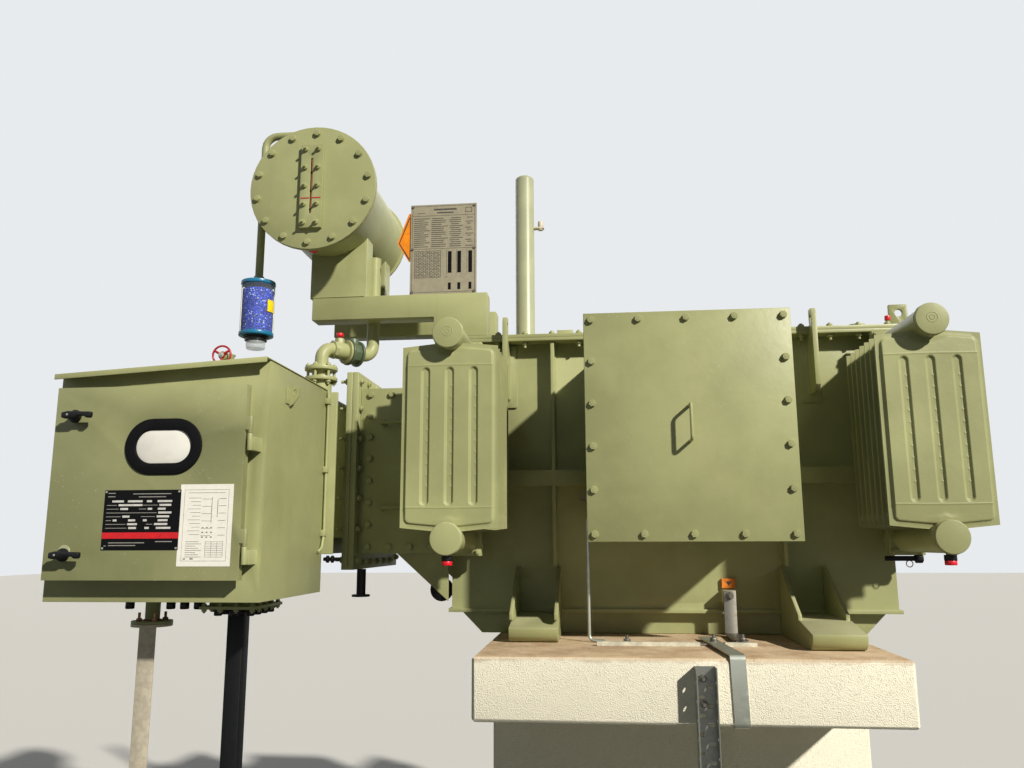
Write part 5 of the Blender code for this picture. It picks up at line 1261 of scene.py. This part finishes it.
def make_chamber_fittings():
    """The stub below the chamber and the two bent rods on its inspection plate."""
    x, y = -1.018, -0.445
    hand_over(smooth(joined([upright(x, y, 1.5145, 1.43, 0.03, 32),
                             upright(x, y, 1.432, 1.425, 0.06, 32, 0.001)])),
              "chamber_drain_stub", "black_metal")
    x, face = -0.953, span("chamber_inspection_plate")[0].y
    rods = []
    for z in (2.001, 1.715):
        run = [(x, face + 0.001, z), (x, face - 0.032, z), (-0.826, face - 0.032, z)]
        rods += [bent_rod(arc_path(run, 0.01), 0.012),
                 level(x, z, face - 0.0002, face - 0.006, 0.022, 24, 0.001)]
    hand_over(rods, "chamber_plate_rods", "olive_paint")


def make_small_fittings():
    """Earthing stud and tag, and the spindle and ring by the right radiator's valve."""
    side = span("cable_box_front")[0].x
    bolts("cable_box_earth_stud", [(side, -0.42, 1.742)], LEFT, 0.012, 0.016,
          "weathered_steel")
    _, high, middle = span("earth_link")
    x, top = middle.x, high.z
    hand_over(block((x - 0.018, -0.3625, top + 0.005), (x + 0.026, -0.3508, top + 0.036),
                    0.0008, 1), "earth_tag", "rust_orange")
    mark = [(x - 0.006, top + 0.027), (x + 0.014, top + 0.027), (x + 0.004, top + 0.013)]
    hand_over(plate(mark, "xz", -0.3622, -0.3628), "earth_tag_mark", "dark_ink")
    y, z = -0.432, 1.5465
    hand_over([smooth(rod((0.672, y, z), (0.778, y, z), 0.016, 20)),
               rod((0.762, y, z), (0.784, y, z), 0.03, 6, 0.0015)],
              "radiator_valve_spindle", "black_metal")
    hand_over(smooth(ring((0.744, y, 1.53), 0.02, 0.0032)), "radiator_valve_ring",
              "weathered_steel")


def weld(start, end, diameter=0.006):
    """A slightly uneven bead along a joint."""
    start, end = Vector(start), Vector(end)
    count = max(2, round((end - start).length / 0.005))
    side = (end - start).orthogonal().normalized()
    points = [start.lerp(end, i / count) + side * (0.0007 * math.sin(2.3 * i))
              for i in range(count + 1)]
    return bent_rod(points, diameter, 8)


TANK_WALL = 0.351           # the tank's long walls, from its middle
LUG_PAD = 0.359             # the lifting lugs' pads, from the tank's middle
LUG_PLACES = (-0.535, 0.5)
STIFFENER_PLACES = (-0.375, 0.375)
BEAM_FOOT = 2.4703          # where the conservator's saddles stand on their beams


def make_welds():
    """Beads beside the lifting lugs, their pads, the stiffeners and the saddles."""
    beads = []

    def upright_weld(x, y, bottom, top):
        beads.append(weld((x, y, bottom), (x, y, top)))

    for end in (-1, 1):
        wall, pad = end * TANK_WALL, end * LUG_PAD
        for x in LUG_PLACES:
            for side in (-1, 1):
                upright_weld(x + side * 0.009, pad, 2.092, 2.278)
                upright_weld(x + side * 0.031, wall, 2.066, 2.28)
            beads.append(weld((x - 0.031, wall, 2.062), (x + 0.031, wall, 2.062)))
        for x in STIFFENER_PLACES:
            for side in (-1, 1):
                upright_weld(x + side * 0.007, wall, 1.53, 2.28)
    for word in ("front", "rear"):
        low = span(f"conservator_beam_{word}")[0]
        y = low.y - 0.0005
        beads.append(weld((low.x + 0.005, y, BEAM_FOOT), (low.x + 0.2, y, BEAM_FOOT), 0.004))
    hand_over(beads, "weld_beads", "olive_paint")


OIL_PIPE_FOOT = (-1.169, -0.485)
OIL_PIPE_DIAMETER = 0.046
OIL_FLANGE_DIAMETER = 0.112


def make_pipework():
    """The oil pipe: flange pair, elbow, valve, relay and the bend up to the conservator."""
    x, y = OIL_PIPE_FOOT
    seat = span("oil_pipe_and_relay")[0].z
    parts = [upright(x, y, seat, 2.163, 0.074, 40),
             upright(x, y, seat, seat + 0.008, OIL_FLANGE_DIAMETER, 48, 0.0015),
             upright(x, y, 2.148, 2.16, OIL_FLANGE_DIAMETER, 48, 0.0015),
             upright(x, y, 2.158, 2.188, 0.062, 40),
             upright(x, y, 2.184, 2.196, OIL_FLANGE_DIAMETER, 48, 0.0015),
             upright(x, y, 2.195, 2.203, 0.08, 40, 0.002)]
    start, end = Vector((x, y, 2.268)), Vector((-1.036, -0.315, 2.266))
    rise = Vector((end.x, end.y, 2.64))
    run = (end - start).normalized()
    for corners, bend in (([(x, y, 2.198), start, start + run * 0.08], 0.04),
                          ([start + run * 0.15, end, rise], 0.044)):
        parts.append(bent_rod(arc_path(corners, bend, 8), OIL_PIPE_DIAMETER, 24))

    def disc(a, b, diameter, sides=40, edge=0.0015):
        return rod(start + run * a, start + run * b, diameter, sides, edge)

    def above(place, low, high, *shape):
        return upright(place.x, place.y, place.z + low, place.z + high, *shape)

    bonnet, middle = start + run * 0.072, start + run * 0.13
    parts += [disc(0.04, 0.052, 0.066, 8), disc(0.05, 0.098, 0.06, 28, 0.006),
              disc(0.096, 0.104, 0.086), above(bonnet, 0, 0.044, 0.036, 6, 0.003)]
    hand_over(smooth(joined(parts), 40), "oil_pipe_run", "olive_paint",
              replaces=("oil_pipe_and_relay",))
    # The relay's darker olive is painted shade.
    hand_over([disc(0.106, 0.114, 0.092), disc(0.113, 0.146, 0.078, 8, 0.003),
               disc(0.145, 0.153, 0.092), above(middle, 0, 0.052, 0.04, 24, 0.003)],
              "oil_relay", "relay_shade_olive")
    hand_over([above(bonnet, 0.05, 0.064, 0.026, 20, 0.004, 3),
               above(bonnet, 0.042, 0.052, 0.01, 16)], "oil_valve_knob", "red_plastic")
    spots = circle(x, y, 0.044, [math.radians(a) for a in range(22, 382, 60)])
    bolts("oil_flange_heads", [(a, b, 2.196) for a, b in spots], UP, 0.01, 0.004)
    bolts("oil_flange_nuts", [(a, b, 2.148) for a, b in spots], DOWN, 0.01, 0.006)
    studs = [upright(a, b, 2.15, 2.19, 0.01, 12) for a, b in spots]
    hand_over(smooth(joined(studs)), "oil_flange_studs", "olive_paint")


def make_strap():
    """The flat strap, with rounded bends and a slight slant down the slab's face."""
    low, high, _ = span("earth_strap")
    slab_low, slab_high, _ = span("plinth_slab")
    thick = 0.004
    top, front = slab_high.z + 0.0066, slab_low.y - 0.0003
    pier, under = span("plinth_pier")[0].y - 0.009, slab_low.z - 0.0003
    inner = [(0, high.y, top), (0, front, top), (0, front, under), (0, pier, under),
             (0, pier, low.z)]
    outer = [(0, high.y, top + thick), (0, front - thick, top + thick),
             (0, front - thick, under - thick), (0, pier - thick, under - thick),
             (0, pier - thick, low.z)]
    outside = [(p.y, p.z) for p in arc_path(outer, 0.014, 5)]
    inside = [(p.y, p.z) for p in arc_path(inner, 0.01, 5)]
    made = plate(outside + inside[::-1], "yz", low.x + 0.002, high.x - 0.003)
    for vertex in made.data.vertices:
        down = (top - vertex.co.z) / (top - under)
        back = (vertex.co.y - front) / (high.y - front)
        vertex.co.x += 0.005 * min(max(down, 0.0), 1.0) - 0.034 * max(back, 0.0)
    hand_over(smooth(made, 40), "earth_strap_bent", "galvanised_steel",
              replaces=("earth_strap",))


def make_second_bar():
    """The bar in two lengths that lies in front of the earth bar."""
    low = span("earth_bar")[0]
    lengths = [block((left, low.y - 0.022, SLAB_TOP), (right, low.y - 0.006, SLAB_TOP + 0.0125))
               for left, right in ((low.x - 0.04, 0.06), (0.13, 0.222))]
    hand_over(bevelled(joined(lengths), 0.001, 1), "earth_bar_second", "pale_steel")


def make_slotted_channel():
    """The bolted channel with its two rows of slots."""
    low, high, middle = span("slotted_channel")
    wall, back = 0.003, high.y
    outline = [(low.x, low.y), (low.x + wall, low.y), (low.x + wall, back - wall),
               (high.x - wall, back - wall), (high.x - wall, low.y), (high.x, low.y),
               (high.x, back), (low.x, back)]
    cutters = []
    z, side = high.z - 0.03, -1
    while z > 0.03:
        x = middle.x + side * 0.011
        slot = block((x - 0.0095, back - 0.02, z - 0.005), (x + 0.0095, back + 0.01, z + 0.005))
        cutters.append(bevel_upright(slot, 0.0045))
        z, side = z - 0.0232, -side
    for i in range(26):
        z = high.z - 0.036 - i * 0.0464
        cutters.append(rod((low.x - 0.01, low.y + 0.016, z), (high.x + 0.01, low.y + 0.016, z),
                           0.011, 16))
    piece = cut(plate(outline, "xy", 0.0, high.z), joined(cutters))
    hand_over(bevelled(piece, 0.0006, 1, 60), "slotted_channel_cut", "channel_steel",
              replaces=("slotted_channel",))
    spots = [(middle.x - 0.006, back - wall, z) for z in (high.z - 0.03, high.z - 0.094)]
    bolts("channel_bolts", spots, FORWARD, 0.01, 0.012, "weathered_steel")


def bevel_upright(piece, width):
    """Rounds the edges of a block that run front to back."""
    activate(piece)
    bpy.ops.object.mode_set(mode="EDIT")
    shape = bmesh.from_edit_mesh(piece.data)
    for edge in shape.edges:
        run = edge.verts[0].co - edge.verts[1].co
        edge.select_set(abs(run.y) > abs(run.x) and abs(run.y) > abs(run.z))
    bmesh.update_edit_mesh(piece.data)
    bpy.ops.mesh.bevel(offset=width, segments=4)
    bpy.ops.object.mode_set(mode="OBJECT")
    return piece


def make_handwheel():
    """A cast wheel with three spokes, and the nut that holds it."""
    low, high, middle = span("valve_handwheel")
    x, z = middle.x, middle.z
    y = high.y - 0.0056
    parts = [ring((x, y, z), 0.063, 0.0072, sides=48)]
    turns = [-math.pi / 2 + 2 * math.pi * i / 3 for i in range(3)]
    parts += [rod((x, y, z), (a, y, b), 0.0085, 16) for a, b in circle(x, z, 0.031, turns)]
    parts.append(level(x, z, high.y, low.y + 0.001, 0.022, 32, 0.0015))
    hand_over(smooth(joined(parts), 40), "valve_handwheel_cast", "red_paint", "handwheel",
              ("valve_handwheel",))
    hand_over([level(x, z, low.y + 0.0012, low.y - 0.0012, 0.019, 32, 0.0008),
               level(x, z, low.y, low.y - 0.004, 0.011, 6, 0.0006)],
              "valve_handwheel_nut", "galvanised_steel", "handwheel")


# Stage

# Way to the lamp, share of the key light, apparent size in degrees and colour
LAMPS = {
    "key_light": ((1.02, -1.0, 0.86), 1.0, 2, (1.0, 0.955, 0.88)),
    "side_light": ((-1.2, -0.9, 0.5), 0.022, 60, (0.9, 0.95, 1.0)),
    "back_light": ((-0.3, 1.0, 0.9), 0.12, 60, (1.0, 0.98, 0.95)),
}


def make_floor():
    """A pale floor that sends less light back up than it shows."""
    deselect()
    bpy.ops.mesh.primitive_plane_add(size=60, location=(0, 12, 0))
    floor = settle(bpy.context.object)
    floor.name = "floor"
    made = Finish("studio_floor", linear(206, 205, 200), 0.9)
    seen = made.node("ShaderNodeLightPath", {}, "Is Camera Ray")
    made.put("Base Color", made.mixed(seen, linear(92, 95, 92), linear(206, 205, 200)))
    floor.data.materials.append(made.material)


def make_lights():
    """A pale backdrop that is seen and reflected, a dim fill and three lamps."""
    scene = bpy.context.scene
    scene.world = scene.world or bpy.data.worlds.new("World")
    scene.world.use_nodes = True
    sky = Nodes(scene.world.node_tree)
    sky.tree.nodes.clear()
    rays = ("Is Camera Ray", "Is Glossy Ray", "Is Transmission Ray")
    camera, glossy, through = (sky.node("ShaderNodeLightPath", {}, ray) for ray in rays)
    shown = sky.node("ShaderNodeBackground", {"Color": (*linear(232, 235, 238), 1)})
    light = sky.node("ShaderNodeBackground", {"Color": (*linear(214, 226, 244), 1),
                                              "Strength": settings().fill})
    mixed = sky.node("ShaderNodeMixShader", {0: (camera + glossy + through).clamped(),
                                             1: light, 2: shown})
    out = sky.tree.nodes.new("ShaderNodeOutputWorld")
    sky.feed(out.inputs["Surface"], mixed)
    for name, (way, share, degrees, colour) in LAMPS.items():
        data = bpy.data.lights.new(name, "SUN")
        data.angle = math.radians(degrees)
        data.energy = settings().key * share
        data.color = colour
        lamp = bpy.data.objects.new(name, data)
        bpy.context.collection.objects.link(lamp)
        lamp.rotation_euler = (-Vector(way)).to_track_quat("-Z", "Y").to_euler()
    scene.view_settings.view_transform = "Standard"


CAMERA_PLACE = (-0.218, -3.28, 1.603)
CAMERA_TURN = (5.9, 10.5, -0.2)     # yaw, pitch and roll in degrees
CAMERA_LENS = 29.88                 # in mm, on a sensor that is 36 mm wide


def make_camera():
    """A camera where the photograph was taken from, turned the same way."""
    yaw, pitch, roll = (math.radians(a) for a in CAMERA_TURN)
    ahead = Vector((-math.sin(yaw) * math.cos(pitch), math.cos(yaw) * math.cos(pitch),
                    math.sin(pitch)))
    right = Vector((math.cos(yaw), math.sin(yaw), 0))
    up = right.cross(ahead)
    tilted = math.cos(roll) * right + math.sin(roll) * up
    up = -math.sin(roll) * right + math.cos(roll) * up
    data = bpy.data.cameras.new("camera")
    data.lens = CAMERA_LENS
    data.sensor_width = 36
    camera = bpy.data.objects.new("camera", data)
    bpy.context.collection.objects.link(camera)
    turn = Matrix((tilted, up, -ahead)).transposed().to_4x4()
    camera.matrix_world = Matrix.Translation(CAMERA_PLACE) @ turn
    bpy.context.scene.camera = camera


# Add-on

class TransformerSizes(bpy.types.PropertyGroup):
    panel_height: bpy.props.FloatProperty(
        name="Panel height", description="Height of a pressed radiator panel",
        default=0.551, unit="LENGTH")
    panel_field: bpy.props.FloatProperty(
        name="Panel relief", description="How far the pressed field stands out",
        default=0.0088, unit="LENGTH")
    seam: bpy.props.FloatProperty(
        name="Seam", description="Width of the flat seam round a panel",
        default=0.012, unit="LENGTH")
    crease: bpy.props.FloatProperty(
        name="Crease", description="Distance of the crease from a panel's end",
        default=0.06, unit="LENGTH")
    paint: bpy.props.FloatVectorProperty(
        name="Paint", description="Colour of the enamel", subtype="COLOR", size=3,
        default=(0.35, 0.362, 0.168))
    plaster: bpy.props.FloatVectorProperty(
        name="Plaster", description="Colour of the plinth", subtype="COLOR", size=3,
        default=(0.89, 0.84, 0.665))
    key: bpy.props.FloatProperty(
        name="Key light", description="Strength of the main lamp", default=4.95)
    fill: bpy.props.FloatProperty(
        name="Fill light", description="Strength of the light from all round", default=0.065)


def operator(idname, label, words, *works):
    """An operator class that does each of the given works."""
    def execute(self, context):
        for work in works:
            work()
        return {"FINISHED"}

    return type("TRANSFORMER_OT_" + idname, (bpy.types.Operator,), {
        "__doc__": words, "bl_idname": "transformer." + idname, "bl_label": label,
        "bl_options": {"REGISTER", "UNDO"}, "execute": execute})


STEPS = (
    operator("finishes", "Paint the solids", "Gives every packed solid its finish.", paint_nodes),
    operator("edges", "Round the edges", "Rounds the edges of the painted steel.", soften_all),
    operator("radiators", "Radiators", "Presses the radiator panels.", make_radiators),
    operator("fasteners", "Bolts", "Adds bolts, nuts and washers.", make_cover_bolts,
             make_flange_bolts, make_earthing_bolts),
    operator("conservator", "Conservator", "Adds the gauge and the end plate's bolts.",
             make_conservator_details),
    operator("cabinet", "Cabinet", "Adds latches, plates and glands.", make_latches, make_window,
             make_data_plate, make_door_paper, make_glands, make_cabinet_fittings),
    operator("breather", "Breather", "Builds the breather's glass and beads.", make_breather),
    operator("plates", "Plates", "Adds the rating plate and the sign.", make_rating_plate),
    operator("fittings", "Fittings", "Adds the pipe run, lugs, caps and the strap.",
             make_side_lug, make_vent_fittings, make_chamber_fittings, make_small_fittings,
             make_welds, make_pipework, make_strap, make_second_bar),
    operator("channel", "Slotted channel", "Cuts the channel's slots.", make_slotted_channel),
    operator("handwheel", "Handwheel", "Casts the valve's handwheel.", make_handwheel),
    operator("stage", "Studio", "Adds the floor, lamps and camera.", make_floor, make_lights,
             make_camera),
)


class TRANSFORMER_PT_panel(bpy.types.Panel):
    """Lists the sizes and the steps."""
    bl_label = "Power Transformer"
    bl_space_type = "VIEW_3D"
    bl_region_type = "UI"
    bl_category = "Transformer"

    def draw(self, context):
        for name in TransformerSizes.__annotations__:
            self.layout.prop(context.scene.transformer, name)
        for step in STEPS:
            self.layout.operator(step.bl_idname)


CLASSES = (TransformerSizes, *STEPS, TRANSFORMER_PT_panel)


def register():
    for kind in CLASSES:
        bpy.utils.register_class(kind)
    bpy.types.Scene.transformer = bpy.props.PointerProperty(type=TransformerSizes)


def unregister():
    del bpy.types.Scene.transformer
    for kind in reversed(CLASSES):
        bpy.utils.unregister_class(kind)


def main():
    register()
    for step in STEPS:
        getattr(bpy.ops.transformer, step.bl_idname.split(".")[1])()
    deselect()


if __name__ == "__main__":
    main()
